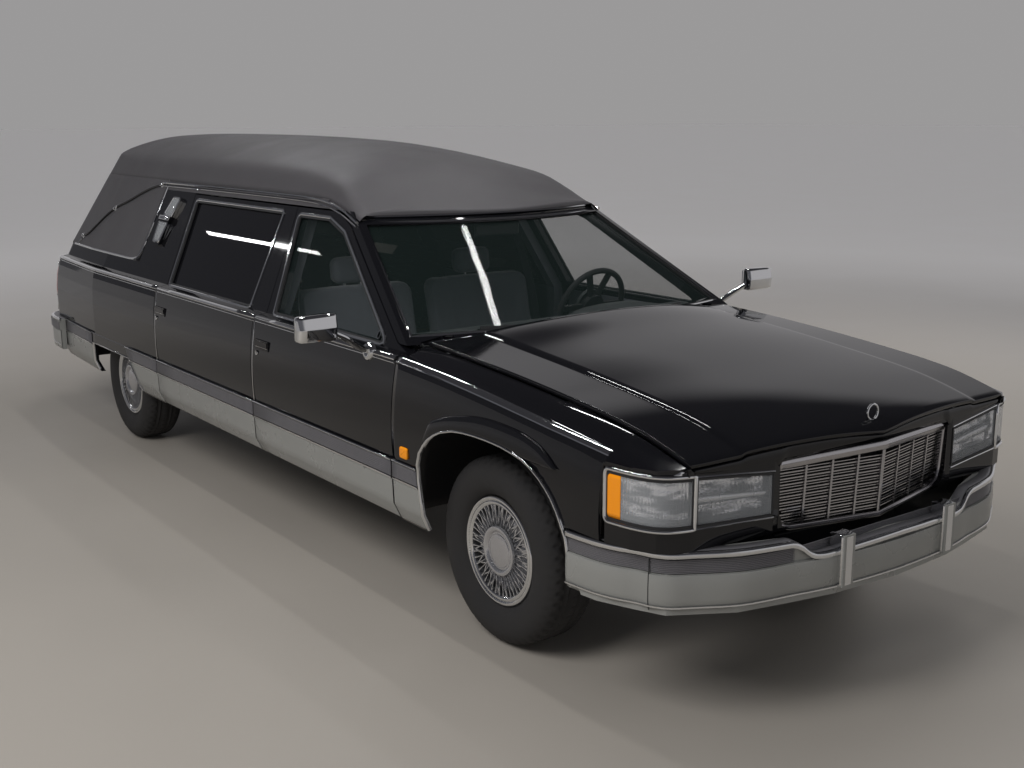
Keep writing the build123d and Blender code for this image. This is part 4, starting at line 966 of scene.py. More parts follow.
def planPath(points, count):
    # points and outward directions along a line seen from above
    path = pathThrough([(x / 1000, d / 1000, 0) for x, d in points], count)
    result = []
    for i, p in enumerate(path):
        along = (path[min(i + 1, count)] - path[max(i - 1, 0)]).normalized()
        result.append((p.x * 1000, p.y * 1000, -along.y, along.x))
    return result


def bothHalves(half):
    # a left half of a plan carried on over the middle to the right
    return half + [(-x, d, -nx, nd) for x, d, nx, nd in reversed(half[:-1])]


def beadAlong(name, places, s, profile, look, ring=False, sharp=35):
    # a moulding through (plan point, how far proud, height) places, standing off square to the plan
    path = [spot(s * (x + nx * out), d + nd * out, z) for (x, d, nx, nd), out, z in places]
    outs = [Vector((s * q[2], q[3], 0)) for q, out, z in places]
    return sweep(name, path, outs, profile, look, "body", ring=ring, sharp=sharp)


def lampTop(x):
    return 840 + 5 * (x - 795) / 162 if x > 795 else 809 + 31 * (x - 472) / 323


def lampLow(x):
    return 682 + 3 * (x - 789) / 168 if x > 789 else 666 + 16 * (x - 472) / 317


def cornerInset(line, i):
    # how far the corner lamp's outline draws in at its rounded rear end, i points along the line
    far = lampCorner["radius"] - min(lampCorner["radius"], lampCorner["step"] * i)
    return lampCorner["radius"] - math.sqrt(max(0, lampCorner["radius"] ** 2 - far**2)) if line is outerLine else 0


def lampSheet(name, line, s, share, look, out, flutes=0, trim=(8, 8), thick=3, dimple=0.0, rows=10):
    # a sheet over part of a lamp's front: share is the part of the line, trim the rims above and below
    count = len(line) - 1
    first, last = round(share[0] * count), round(share[1] * count)

    def at(i, t):
        x, d, nx, nd = line[int(i)]
        low, high = lampLow(x) + trim[0] + cornerInset(line, i), lampTop(x) - trim[1] - cornerInset(line, i)
        push = out + (1.1 * abs(math.sin(math.pi * i * flutes / count)) if flutes else 0)
        push -= dimple * (1 - abs(2 * t - 1) ** 3) * (0.5 + 0.5 * math.cos(i * 0.9))
        return spot(s * (x + nx * push), d + nd * push, low + (high - low) * t)

    return patch(
        name, range(first, last + 1), steps(0, 1, rows), at, (s * 0.5, -1, 0), look, "body", thick, sharp=50
    )


outerLine = planPath(noseLine, 160)
headLine = planPath(innerLine, 130)
for sideName, s in sides:
    amber = lampSheet(f"corner_lamp_amber_{sideName}", outerLine, s, (0.03, 0.2), "amber", 1.5, trim=(10, 10))
    if s > 0:
        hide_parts("headlamps")
    lampSheet(f"corner_lamp_lens_{sideName}", outerLine, s, (0.205, 0.985), "lens", 1.0, flutes=36, trim=(10, 10))
    lampSheet(f"headlamp_lens_{sideName}", headLine, s, (0.015, 0.97), "lens", 0.5, flutes=30, trim=(8, 8))
    # silvered backs, dished so that they break up what they mirror, their colour broken by crisp dark streaks of
    # painted reflection
    lampSheet(f"corner_lamp_mirror_{sideName}", outerLine, s, (0.02, 0.985), "lampBackPaintedReflections", -30, trim=(12, 12), dimple=9)
    lampSheet(f"headlamp_mirror_{sideName}", headLine, s, (0.02, 0.97), "lampBackPaintedReflections", -34, trim=(10, 10), dimple=12)
    lampSheet(f"headlamp_bar_{sideName}", headLine, s, (0.02, 0.97), "satin", -14, trim=(66, 62), thick=12, rows=2)
    # rims round both lamps
    for part, line, ends, look, grow, profile in (
        ("corner_lamp_bezel", outerLine, (0.0, 1.0), "chrome", 6, beadProfile(6.5, -6, 3, 3, 7)),
        ("corner_lamp_gasket", outerLine, (0.018, 0.99), "plastic", -4.5, barProfile(4, -8, 2)),
        ("headlamp_rim", headLine, (0.01, 0.985), "plastic", -3, barProfile(3.5, -8, 2)),
    ):
        count = len(line) - 1
        first, last = round(ends[0] * count), round(ends[1] * count)
        run = [i for i in range(first, last + 1) if i < first + 10 or i % 4 == 0]
        ring = [(i, 0) for i in run] + [(run[-1], t) for t in (0.25, 0.5, 0.75)]
        ring += [(i, 1) for i in reversed(run)] + [(run[0], t) for t in (0.75, 0.5, 0.25)]
        places = []
        for i, t in ring:
            inset = cornerInset(line, i - first)
            low, high = lampLow(line[i][0]) - grow + inset, lampTop(line[i][0]) + grow - inset
            places.append((line[i], 1.0, low + (high - low) * t))
        beadAlong(f"{part}_{sideName}", places, s, profile, look, ring=True, sharp=60)
    # chrome lines above and below the headlamp
    for k, edge, step in (("upper", lampTop, 5), ("lower", lampLow, -5)):
        places = [(q, 1.5, edge(q[0]) + step) for q in headLine[::5]]
        beadAlong(f"headlamp_line_{k}_{sideName}", places, s, beadProfile(2.5, -3, 2, 0, 3.5), "chrome")
print("lamps")

grilleHalf = 446
# radiator with upright fins behind the grille
finColumns = [x + dx for x in range(-424, 424, 9) for dx in (0, 2, 4.5, 6.5)]
patch(
    "radiator", finColumns, [604, 720, 832],
    lambda x, z: spot(x, -872 - (8 if finColumns.index(x) % 4 in (1, 2) else 0) - 40 * (1 - abs(x) / grilleHalf), z),
    (0, -1, 0), "blackMetal", "body", 4,
)
# grille header: a folded cap over the top bar
headerRows = [(0, 1.0), (3, 3.5), (14, 6.5), (18, 4.5), (30, 3.0), (33, 0.8)]


def headerAt(x, row):
    drop, out = row
    share = abs(x) / grilleHalf
    return spot(x, -1013 + 80 * share - out, 854 - 16 * share - drop)


patch(
    "grille_header", steps(-grilleHalf, grilleHalf, 40), headerRows, headerAt, (0, -1, 0.2), "grilleSilver", "body",
    2,
)

# bumper: ledge, ribbed band, painted lower face and guards
bumper = {
    "outer": [
        (974, -522), (968, -590), (958, -660), (938, -725), (907, -790), (888, -845), (858, -886), (790, -928),
        (666, -996), (570, -1022), (471, -1040), (390, -1058), (304, -1072), (150, -1086), (0, -1092),
    ],
    "dip": curveThrough(
        [(0, 560), (240, 552), (304, 548), (372, 549), (400, 556), (440, 586), (471, 600), (500, 602), (1000, 602)]
    ),
}
halfLine = planPath(bumper["outer"], 120)
fullLine = bothHalves(halfLine)


def bumperSheet(name, rows, look, thick, keep=0):
    # rows are (height, how far proud); heights up to 20 are counted from the bumper's dipping top
    line = [q for q in fullLine if abs(q[0]) >= keep]

    def at(i, row):
        x, d, nx, nd = line[i]
        z, out = row
        top = bumper["dip"](abs(x))
        z = top + z if z <= 20 else min(z, top - 14)
        return spot(x + nx * out, d + nd * out, z)

    return patch(name, range(len(line)), rows, at, (0, -1, 0), look, "body", thick)


bumperSheet(
    "bumper_ledge", [(-19, 1.0), (-17, 5.0), (-12, 6.8), (-4, 6.8), (0, 5.0), (2.4, 1.0), (2.6, -8)], "chrome", 2.0
)
bumperSheet("bumper_shelf", [(2.0, -7), (2.4, -20), (2.0, -46)], "stripGrey", 1.2)
bandRows = [
    (z + dz, out) for z in np.arange(534, 580, 5.8) for dz, out in ((0, -6.0), (1.2, -4.2), (3.8, -4.2), (5.0, -6.0))
]
bumperSheet("bumper_ribbed_band", bandRows, "stripGrey", 1.5, keep=470)
lowerRows = [(531, -6.0), (529, 1.8), (524, 3.0), (490, 4.0), (450, 3.4), (424, 1.0), (410, -6.0), (403, -14.0)]
bumperSheet("bumper_lower_face", lowerRows, "cladding", 2.0)
bumperSheet("bumper_low_line", [(430, 4.0), (428, 6.0), (423, 6.2), (420, 3.2)], "chrome", 1.5)
for sideName, s in sides:
    guard = [(0, 428), (0, 596), (-6, 601), (-24, 603), (-52, 601), (-52, 428)]
    guardColumns = ((-30, 8), (-16.5, 0), (16.5, 0), (30, 8))
    body = piece(
        f"bumper_guard_{sideName}",
        [spot(s * (270 + x), -1100.3 + back - y, z) for x, back in guardColumns for y, z in guard],
        capped(4, 6), "chrome", "body", sharp=30, swap=s < 0,
    )
    rounding(body, 3, 2, 30)
    # seam where the wrapped end meets the middle
    joint = min(halfLine, key=lambda q: abs(q[0] - 893))
    seam = ((590, 1.2), (534, 1.2), (529, 2.6), (524, 3.6), (490, 4.6), (450, 4.0), (424, 2.4), (408, -5))
    places = [(joint, out, z) for z, out in seam]
    beadAlong(f"bumper_seam_{sideName}", places, s, barProfile(1.6, -2, 0.6, 1.2), "plastic")
# blank plate recess between the guards
plateRows = [
    (z + dz, out) for z in np.arange(452, 528, 9.5) for dz, out in ((0, 1.2), (1.5, 3.0), (6.5, 3.0), (8.0, 1.2))
]
patch(
    "bumper_centre_panel", steps(-164, 164, 16), plateRows,
    lambda x, row: spot(x, -1080 - row[1] - 3 * (1 - (x / 164) ** 2), row[0]), (0, -1, 0), "stripGrey", "body",
    2,
)
print("bumper")

# tyres
tyre = {
    "rows": [
        (79, 208), (96, 222), (108, 246), (113, 280), (110, 304), (104, 322), (96, 334), (88, 342.5), (80, 348),
        (70, 351.5), (57, 353), (50, 353.4), (48, 353.5), (35, 354), (27, 354.2), (25, 354.2), (12, 354.4),
        (2, 354.5),
    ],
    "steps": 300,
}
axles = {"front": (786, 0), "rear": (814, 3792)}
wheelCentre = 356
tyreSection = tyre["rows"] + [(-x, r) for x, r in reversed(tyre["rows"])]


def treadCut(x, turn):
    # depth of the tread's grooves at a place across the tread and round it
    across = abs(x)
    if across > 96 or across < 1:
        return 0
    if any(abs(across - g) < 1.5 for g in (26, 49)):
        return 7
    if across > 84:
        return 3.5 if turn % 6 < 2 else 0
    shifted = turn + 2 * (int(across // 30) % 3)
    if across > 50 and (shifted + (3 if x < 0 else 0)) % 6 < 1.5:
        return 6
    return 3 if shifted % 6 < 1 else 0


for end, (sideName, s) in [(end, side) for end in axles for side in sides]:
    body = f"{end}_{sideName}_wheel"
    centre = spot(s * axles[end][0], axles[end][1], wheelCentre)
    verts = []
    for k in range(tyre["steps"]):
        a = 2 * math.pi * k / tyre["steps"]
        for x, r in tyreSection:
            r -= treadCut(x, k) if r > 330 else 0
            verts.append(centre + Vector((s * x / 1000, math.cos(a) * r / 1000, math.sin(a) * r / 1000)))
    n = len(tyreSection)
    faces = turnedFaces(tyre["steps"], n)
    faces += [
        ((k + 1) % tyre["steps"] * n, k * n, k * n + n - 1, (k + 1) % tyre["steps"] * n + n - 1)
        for k in range(tyre["steps"])
    ]
    obj = piece(f"tyre_{end}_{sideName}_tread", verts, faces, "rubber", body, sharp=40, swap=s < 0)
    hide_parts(f"tyre_{end}_{sideName}")
    # bright double ring and stepped hub cap of the cover
    ring = [
        (82, 172), (86, 176), (88.5, 182), (87, 187), (85, 189), (88, 192), (90.5, 198), (89, 204), (84, 207),
        (70, 207),
    ]
    lathe(f"cover_ring_{end}_{sideName}", ring, centre, 120, "chrome", body, sharp=50, flip=s)
    hub = [
        (86, 0), (86.5, 20), (86, 40), (84.5, 58), (81, 66), (81, 70), (86, 74), (90, 80), (91, 86), (89, 92),
        (80, 95),
    ]
    lathe(f"cover_hub_{end}_{sideName}", hub, centre, 96, "wheelSilver", body, sharp=50, flip=s)
    # dark back, dished plate and the radial wires between hub and ring
    lathe(f"cover_back_{end}_{sideName}", [(61.5, 92), (61.5, 176)], centre, 60, "plastic", body, flip=s)
    lathe(
        f"cover_dish_{end}_{sideName}", [(62.5, 92), (66, 105), (68, 125), (64, 146), (62.2, 150)], centre, 60,
        "wheelSilver", body, flip=s,
    )
    verts, faces = [], []
    for k in range(44):
        a = 2 * math.pi * k / 44
        base = len(verts)
        for r, half, x in ((96, 1.8, 83.5), (130, 2.2, 82.5), (155, 3.0, 82), (170, 5.2, 83), (178, 6.2, 84)):
            u, w = Vector((0, math.cos(a), math.sin(a))), Vector((0, -math.sin(a), math.cos(a)))
            for across, drop in ((-half, -4), (-half * 0.5, 0), (half * 0.5, 0), (half, -4)):
                verts.append(centre + Vector((s * (x + drop) / 1000, 0, 0)) + u * r / 1000 + w * across / 1000)
        faces += [tuple(base + v for v in f) for f in gridFaces(5, 4)]
    obj = piece(f"cover_spokes_{end}_{sideName}", verts, faces, "wheelSilver", body, swap=s > 0)
    shell(obj, 2)
print("wheels")

# mirrors
for sideName, s in sides:
    door = doorBody("front", sideName)
    # head: sections across its width, narrower inboard, its glass side facing back
    verts = []
    sections = [
        (1138, 0.86, 0.2), (1142, 0.95, 0.75), (1152, 1.0, 0.95), (1200, 1.0, 1.0), (1270, 0.97, 1.0),
        (1296, 0.93, 0.92), (1304, 0.86, 0.7), (1308, 0.74, 0.2),
    ]
    loop = roundOutline([(696, 1073), (690, 1126), (700, 1180), (750, 1180), (757, 1073)], 16, 4)
    middle = sum(p.y for p in loop) / len(loop)
    for x, tall, deep in sections:
        verts += [spot(s * x, 700 + (p.x - 724) * deep, middle + (p.y - middle) * tall) for p in loop]
    head = piece(
        f"mirror_head_{sideName}", verts, capped(len(sections), len(loop)), "chrome", door, sharp=50,
        swap=s > 0,
    )
    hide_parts(f"mirror_{sideName}")
    glass = roundOutline([(1150, 1084), (1296, 1088), (1296, 1168), (1150, 1172)], 14, 4)
    obj = piece(
        f"mirror_glass_{sideName}", [spot(s * p.x, 733.5, p.y) for p in glass], [tuple(range(len(glass)))],
        "mirrorSilver", door, swap=s > 0,
    )
    shell(obj, 2)
    # arm from the sail plate, and its round foot
    arm = pathThrough(
        [spot(s * 968, 752, 1003), spot(s * 1010, 748, 1022), spot(s * 1080, 724, 1066), spot(s * 1150, 708, 1100)],
        14,
    )
    sweep(f"mirror_arm_{sideName}", arm, (0, -1, 0.2), oval(13, 17, 12), "chrome", door)
    foot = [(0, 0), (11, 6), (17, 16), (18, 24), (15, 31), (6, 36), (-12, 38)]
    centre = spot(s * 962, 752, 998)
    lathe(f"mirror_foot_{sideName}", foot, centre, 36, "chrome", door, flip=s)
    # bare oval ring at the window's front corner
    ring = [onGlass(s, 800 + 11 * math.cos(a), 1052 + 16 * math.sin(a), 1) for a in steps(0, 2 * math.pi, 28)[:-1]]
    sweep(f"corner_ring_{sideName}", ring, sideNormals[s], barProfile(1.6, -10, 2), "chrome", door, ring=True)
print("mirrors")

# small lamps, ornament, locks
for sideName, s in sides:
    marker = roundOutline([(432, 670), (486, 670), (486, 624), (432, 624)], 10, 4)
    verts = [
        spot(s * (sideHalf(648) + out), p.x, p.y)
        for grow, out in ((0, -3), (0, 5), (-3, 8), (-9, 9)) for p in grownOutline(marker, grow)
    ]
    n = len(marker)
    obj = piece(
        f"side_marker_{sideName}", verts, gridFaces(4, n, ring=True) + [tuple(3 * n + j for j in range(n))], "amber",
        "body", swap=s > 0,
    )
    for door, d in (("front", 1720), ("rear", 3007)):
        lathe(
            f"key_lock_{door}_{sideName}", [(9, 0), (9, 4), (7.5, 5), (8.5, 6.5), (8.5, 10), (5, 11.5), (0, 11.5)],
            spot(s * (sideHalf(842) - 2), d + 52, 842), 24, "chrome", doorBody(door, sideName),
            flip=s,
        )
        # flap and its finger recess
        for k, (low, high, out) in enumerate(((869, 902, 8.4), (872, 880, 9.2))):
            block(
                f"handle_{k + 1}_{door}_{sideName}", spot(s * (sideHalf(884) + out - 3), d, (low + high) / 2),
                (6, 122, high - low), "black" if k == 0 else "satin", doorBody(door, sideName), soft=2,
            )
ringPath = [spot(27 * math.cos(a), -953, 938 + 27 * math.sin(a)) for a in steps(0, 2 * math.pi, 48)[:-1]]
sweep("hood_ornament_ring", ringPath, (0, -1, 0), oval(4.2, 4.4, 8), "chrome", "hood_lid", ring=True)
verts, stemRows = [], [(887, 17, 13), (893, 15, 11), (896, 7, 6), (905, 4, 4.2), (912, 5, 4.2)]
for z, a, b in stemRows:
    verts += [spot(a * math.cos(t), -953 + b * math.sin(t), z) for t in steps(0, 2 * math.pi, 20)[:-1]]
piece("hood_ornament_foot", verts, gridFaces(5, 20, ring=True), "chrome", "hood_lid")
print("small fittings")

# wheel openings
flareLine = curveThrough(
    [
        (326, 725), (289, 791), (213, 833), (120, 860), (-38, 886), (-187, 887), (-301, 875), (-409, 840),
        (-478, 792), (-500, 772),
    ]
)
liner = [
    (474, 400), (468, 520), (448, 640), (400, 740), (310, 812), (190, 842), (60, 846), (-120, 846), (-270, 838),
    (-390, 802), (-480, 730), (-545, 630), (-580, 500), (-585, 410),
]
archDown = {
    "front": [(366, 600), (364, 560), (352, 480), (343, 420), (340, 358)],
    "nose": [(-502, 606), (-514, 570), (-522, 530), (-527, 460), (-534, 408)],
}
rearOpening = [(3400, 300), (3436, 426), (3507, 486), (3549, 540), (4206, 540), (4212, 420), (4180, 300)]


for sideName, s in sides:
    # swollen crescent over the front opening
    def onFlare(d, t):
        low = max(archBottom(d), 600) + 3 if d > -290 else max(archBottom(d) + 3, 794)
        high = max(flareLine(d), low + 1)
        z = low + (high - low) * t
        swell = 7.5 * math.sin(math.pi * min(1, 0.5 + 0.5 * t)) ** 0.6 if t < 1 else 0.2
        return spot(s * (fenderHalf(d, z) + swell), d, z)

    patch(
        f"fender_flare_{sideName}", steps(322, -470, 44), steps(0, 1, 9), onFlare, (s, 0, 0), "black", "body",
        2, sharp=50,
    )
    # bright lip all round the opening
    edge = list(reversed(archDown["front"]))[:-1] + fender["arch"] + archDown["nose"][1:]
    path = [spot(s * (fenderHalf(max(d, -520), z) + (6 if 600 < z else 2)), d, z + 1) for d, z in edge]
    lipOut = Vector((s, 0, 0))
    sweep(
        f"arch_lip_front_{sideName}", path, lipOut, [(-4, -12), (4, -12), (4.5, 2), (2, 4.5), (-2, 4.5), (-4.5, 2)],
        "chrome", "body", sharp=60,
    )
    edge = [(3418, 362)] + rearOpening[1:6] + [(4198, 362)]
    path = [spot(s * (sideHalf(z) + 3 - taper(d, z)), d, z) for d, z in edge]
    sweep(f"arch_lip_rear_{sideName}", path, lipOut, beadProfile(4, -12, 2, 2, 4), "chrome", "body", sharp=60)
    # pressed liner round the front wheel
    line = millimetrePath(liner, 40)
    patch(
        f"wheel_liner_{sideName}", range(41), [500, 560, 640, 720, 800, 880, 930],
        lambda i, x: spot(s * x, line[i][0], line[i][1] - (3 if x in (560, 720, 880) else 0)), (0, 0, -1), "plastic",
        "body", 3,
    )
print("wheel openings")

# bars on the roof's sides
landau = [
    (3689, 1527), (3808, 1507), (3933, 1475), (4117, 1416), (4311, 1359), (4428, 1305), (4540, 1245), (4631, 1195),
    (4700, 1168), (4762, 1160),
]


def onTail(s, d, z, out):
    return spot(s * (min(glassHalf(z), tailHalf(z, d)) + out / leanLength), d, z + out * lean / leanLength)


def stud(name, centre, axis, profile, look, body, count=28):
    # a turned piece on any axis: profile points are (out, radius)
    axis = Vector(axis).normalized()
    u = axis.orthogonal().normalized()
    w = axis.cross(u)
    verts = []
    for k in range(count):
        a = 2 * math.pi * k / count
        verts += [centre + axis * x / 1000 + (u * math.cos(a) + w * math.sin(a)) * r / 1000 for x, r in profile]
    return piece(name, verts, turnedFaces(count, len(profile)), look, body, sharp=40)


for sideName, s in sides:
    path = [onTail(s, d, z, 7) for d, z in millimetrePath(landau, 80)]
    bar = sweep(
        f"landau_bar_{sideName}", path, sideNormals[s], oval(7.5, 6.5, 12), "black", "body", sharp=50
    )
    if s > 0:
        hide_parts("landau_bars")
    for k, (d, z) in enumerate((landau[0], landau[4], landau[-1])):
        stud(
            f"landau_stud_{k + 1}_{sideName}", onTail(s, d, z, 0), sideNormals[s],
            [(-6, 19), (5, 19), (8, 16), (9, 11), (13, 10), (14.5, 6), (15, 0)], "chrome", "body",
        )
        for j, off in enumerate((-16, 16)):
            near = [onTail(s, d + off + dx, z - (off + dx) * (0.17, 0.38, 0.2)[k], 7) for dx in (-5, 5)]
            sweep(
                f"landau_collar_{k + 1}_{j + 1}_{sideName}", near, sideNormals[s], oval(10, 9, 12), "chrome", "body",
                sharp=50,
            )
    foot = [onTail(s, d, z, 2) for d, z in ((4778, 1140), (4798, 1122), (4806, 1106))]
    sweep(f"covering_corner_{sideName}", foot, sideNormals[s], barProfile(9, -3, 6, 7), "chrome", "body")
print("side bars")


# underside of the hood: pressed panel, and the hinge arms
def onInnerPanel(x, t):
    d = hoodPlace(x, t)
    rib = any(abs(abs(x) - g) < 42 for g in (0, 330, 660)) or abs(t - 0.5) < 0.04
    return spot(x, d, hoodHeight(x, d) - 22 - (14 if rib else 0))


patch(
    "hood_inner_panel", steps(-760, 760, 76), steps(0.04, 0.94, 60), onInnerPanel,
    (0, 0, -1), "blackMetal", "hood_lid", 2, sharp=25,
)
for sideName, s in sides:
    arm = [(490, 1054), (510, 1054), (530, 1032), (570, 1026), (570, 1006), (542, 1006)]
    verts = [spot(s * x, d, z) for x in (690, 702) for d, z in arm]
    piece(f"hood_arm_{sideName}", verts, capped(2, 6), "blackMetal", "hood_lid", swap=s > 0)


# front lip of the hood, turned down to the lamps and the grille
def lipTarget(x):
    x = abs(x)
    return 858 - 16 * x / grilleHalf if x < grilleHalf else lampTop(max(x, 472)) + 12


def onFrontLip(x, row):
    share, out = row
    nearGrille = abs(x) < 430
    d = hoodFront(abs(x)) - out * (0.35 if nearGrille else 1) + (2 if nearGrille else 0)
    top = hoodHeight(x, hoodFront(abs(x)))
    return spot(x, d, (top - 0.6) * (1 - share) + min(lipTarget(x), top - 8) * share)


patch(
    "hood_front_lip", steps(-800, 800, 100),
    [(0.0, 0.5), (0.06, 2.6), (0.16, 4.0), (0.32, 4.8), (0.55, 4.2), (0.8, 2.4), (1.0, -1.0)],
    onFrontLip, (0, -1, 0.2), "black", "hood_lid", 3, sharp=60,
)

# wipers at the foot of the glass
for k, (x0, x1) in enumerate(((60, 560), (-560, -60))):
    ends = sorted((x0, x1), key=abs)
    xs = steps(ends[0], ends[1], 24)
    blade = [onScreen(x / 880, 1062 + 14 * abs(x - ends[0]) / 500, 7) for x in xs]
    obj = sweep(
        f"wiper_blade_{k + 1}", blade, screenOut,
        [(-2, -4), (2, -4), (3, 2), (7, 4), (7, 7), (-7, 7), (-7, 4), (-3, 2)], "plastic", "body",
    )
    if k == 0:
        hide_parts("wipers")
    reachOut = [
        onScreen((ends[0] + (ends[1] - ends[0]) * share) / 880, z, out)
        for share, z, out in ((0.06, 1042, 12), (0.3, 1052, 20), (0.5, 1069, 16))
    ]
    sweep(
        f"wiper_arm_{k + 1}", pathThrough(reachOut, 16), screenOut, beadProfile(5, -3, 2, 0, 4), "plastic", "body",
    )
print("hood parts and wipers")

# front edge of the grille
grilleFrame = [
    (grilleHalf, 838), (443, 760), (441, 665), (436, 640), (425, 620), (404, 608), (370, 599), (200, 595), (0, 591)
]
grilleFrame = grilleFrame + [(-x, z) for x, z in reversed(grilleFrame[:-1])]


def onGrille(x, z, out):
    # the face of the grille leans and folds at the middle
    t, share = (z - 585) / 275, abs(x) / grilleHalf
    middle, side = -1001 - 12 * t, -920 - 13 * t
    return spot(x, middle + (side - middle) * share - out, z)


sweep(
    "grille_frame", [onGrille(x, z, 0) for x, z in grilleFrame], (0, -1, 0), beadProfile(7, -8, 3, 3, 6.5),
    "grilleSilver", "body", sharp=40,
)
for k in range(10):
    z = 615.7 + 20.6 * k
    half = 434 if z > 660 else 404
    path = [onGrille(x, z, -9) for x in steps(-half, half, 2)]
    sweep(f"grille_blade_{k + 1}", path, (0, -1, 0), barProfile(1.6, -9, 3), "grilleSilver", "body")

# lower rear corner: height, half width along the side, at the corner, corner distance, middle distance, radius
rearRows = [
    (350, 950, 905, 5050, 5080, 120), (420, 980, 936, 5090, 5130, 120), (528, 984, 940, 5106, 5146, 120),
    (602, 981, 937, 5119, 5159, 120), (700, 985, 938, 5125, 5166, 121), (790, 986, 937, 5126, 5168, 122),
    (880, 981.6, 929, 5121, 5165, 123), (950, 971, 915, 5115, 5160, 125), (1000, 962, 902, 5110, 5156, 126),
    (1016, 903, 856, 5090, 5142, 128), (1095, 865.2, 826, 5062, 5120, 130),
]


def rowAt(rows, z):
    # the sizes of a list of rows, each led by its height, at any height
    return [float(np.interp(z, [r[0] for r in rows], [r[k] for r in rows])) for k in range(1, len(rows[0]))]


def rearLine(z, count, rows):
    # plan of the rear from its side round the corner to the middle, with outward directions
    side, corner, cornerD, middleD, radius = rowAt(rows, z)
    back = [Vector((x, middleD - (middleD - cornerD) * (x / corner) ** 2)) for x in steps(corner, 0, 30)]
    p, front = back[0], Vector((side, taperStart))
    toA, toB = (front - p).normalized(), (back[1] - p).normalized()
    half = math.acos(toA.dot(toB)) / 2
    centre = p + (toA + toB).normalized() * radius / math.sin(half)
    start, end = p + toA * radius / math.tan(half), p + toB * radius / math.tan(half)
    a0, a1 = (math.atan2(q.y - centre.y, q.x - centre.x) for q in (start, end))
    arc = [centre + Vector((math.cos(a), math.sin(a))) * radius for a in steps(a0, a1, count)]
    line = [front + (start - front) * t for t in steps(0, 1, 20)[:-1]] + arc + [q for q in back if q.x < end.x - 2]
    result = []
    for i, q in enumerate(line):
        along = (line[min(i + 1, len(line) - 1)] - line[max(i - 1, 0)]).normalized()
        result.append((q.x, q.y, along.y, -along.x))
    return result


def cutLine(z, frontD, innerX, count, rows=rearRows):
    # even points of that plan between a distance on the side and a half width on the back
    line = [q for q in rearLine(z, 60, rows) if q[1] >= frontD and q[0] >= innerX]
    far = [0.0]
    for a, b in zip(line, line[1:]):
        far.append(far[-1] + math.hypot(b[0] - a[0], b[1] - a[1]))
    return [
        tuple(float(np.interp(far[-1] * k / count, far, [q[j] for q in line])) for j in range(4))
        for k in range(count + 1)
    ]


def rearSheet(name, s, frontD, innerX, rows, look, body, thick=2, count=40, flutes=0):
    lines = {row[0]: cutLine(row[0], frontD, innerX, count) for row in rows}

    def at(i, row):
        x, d, nx, nd = lines[row[0]][i]
        out = row[1] + (1.2 * abs(math.sin(math.pi * i * flutes / count)) if flutes else 0)
        return spot(s * (x + nx * out), d + nd * out, row[0])

    return patch(name, range(count + 1), rows, at, (s * 0.6, 1, 0), look, body, thick, sharp=40)


def between(first, last, z0, z1):
    # places on the straight run from one plan point and height to another
    shares = (0.2, 0.4, 0.6, 0.8)
    return [(tuple(a + (b - a) * t for a, b in zip(first, last)), 1, z0 + (z1 - z0) * t) for t in shares]


for sideName, s in sides:
    for kind, rows in beltBands:
        rearSheet(
            f"{kind}_corner_{sideName}", s, 5004, 584, [(z, out + 0.4) for z, out in rows], "chrome", "body", 1.6
        )
    # lamp at the corner: ribbed red lens over a clear reversing lens
    for part, low, high, look in (("upper", 745, 955, "red"), ("lower", 652, 738, "lens")):
        lens = rearSheet(
            f"tail_lamp_{part}_{sideName}", s, 5058, 854,
            [(z, 2.0 if low < z < high else 0.4) for z in steps(low, high, 8)], look, "body", 3, 48, flutes=16,
        )
        if s > 0 and part == "upper":
            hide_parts("tail_lamps")
    rearSheet(
        f"tail_lamp_back_{sideName}", s, 5052, 848, [(z, -14) for z in steps(644, 962, 6)], "lampBackPaintedReflections", "body", 2, 30
    )
    top, low = cutLine(960, 5053, 849, 30), cutLine(646, 5053, 849, 30)
    places = [(q, 1, 960) for q in top] + between(top[-1], low[-1], 960, 646)
    places += [(q, 1, 646) for q in reversed(low)] + between(low[0], top[0], 646, 960)
    beadAlong(f"tail_lamp_rim_{sideName}", places, s, beadProfile(6, -16, 2, 3, 5), "chrome", ring=True, sharp=60)
    rearSheet(
        f"tail_lamp_divider_{sideName}", s, 5055, 852, [(737, 1), (739, 5), (744, 5), (746, 1)], "chrome", "body", 2,
        30,
    )

# rear bumper
rearBumper = [(990, 4846), (978, 5050), (930, 5180), (700, 5270), (350, 5312), (0, 5324)]
halfRear = [(x, d, -nx, -nd) for x, d, nx, nd in planPath(rearBumper, 110)]
fullRear = bothHalves(halfRear)
rearFaceRows = [(404, 1.0), (412, 3.5), (440, 4.5), (486, 5.2), (520, 4.5), (530.5, 2.0)]
rearRibRows = [
    (z + dz, out)
    for z in np.arange(534, 584, 6.4) for dz, out in ((0, 10.3), (1.2, 12.2), (4.2, 12.2), (5.4, 10.3))
]
for name, rows, look, thick, keep in (
    ("bumper_rear_ledge", [(589, 1), (591, 5.5), (596, 7.2), (602, 6.2), (605.4, 2), (605.8, -10)], "chrome", 2, 0),
    ("bumper_rear_shelf", [(605.3, -9), (605.6, -60)], "stripGrey", 0.25, 0),
    ("bumper_rear_face", rearFaceRows, "cladding", 1.5, 0),
    ("bumper_rear_low_line", [(424, 4.5), (427, 6.8), (432, 6.8), (435, 4.5)], "chrome", 1.5, 0),
    ("bumper_rear_ribs", rearRibRows, "stripGrey", 1.2, 190),
):
    runs = [("", fullRear)] if not keep else [(f"_{n}", [q for q in fullRear if q[0] * s > keep]) for n, s in sides]
    for tag, line in runs:
        patch(
            name + tag, range(len(line)), rows,
            lambda i, row: spot(line[i][0] + line[i][2] * row[1], line[i][1] + line[i][3] * row[1], row[0]),
            (0, 1, 0), look, "body", thick, sharp=30,
        )
print("rear lamps and bumper")

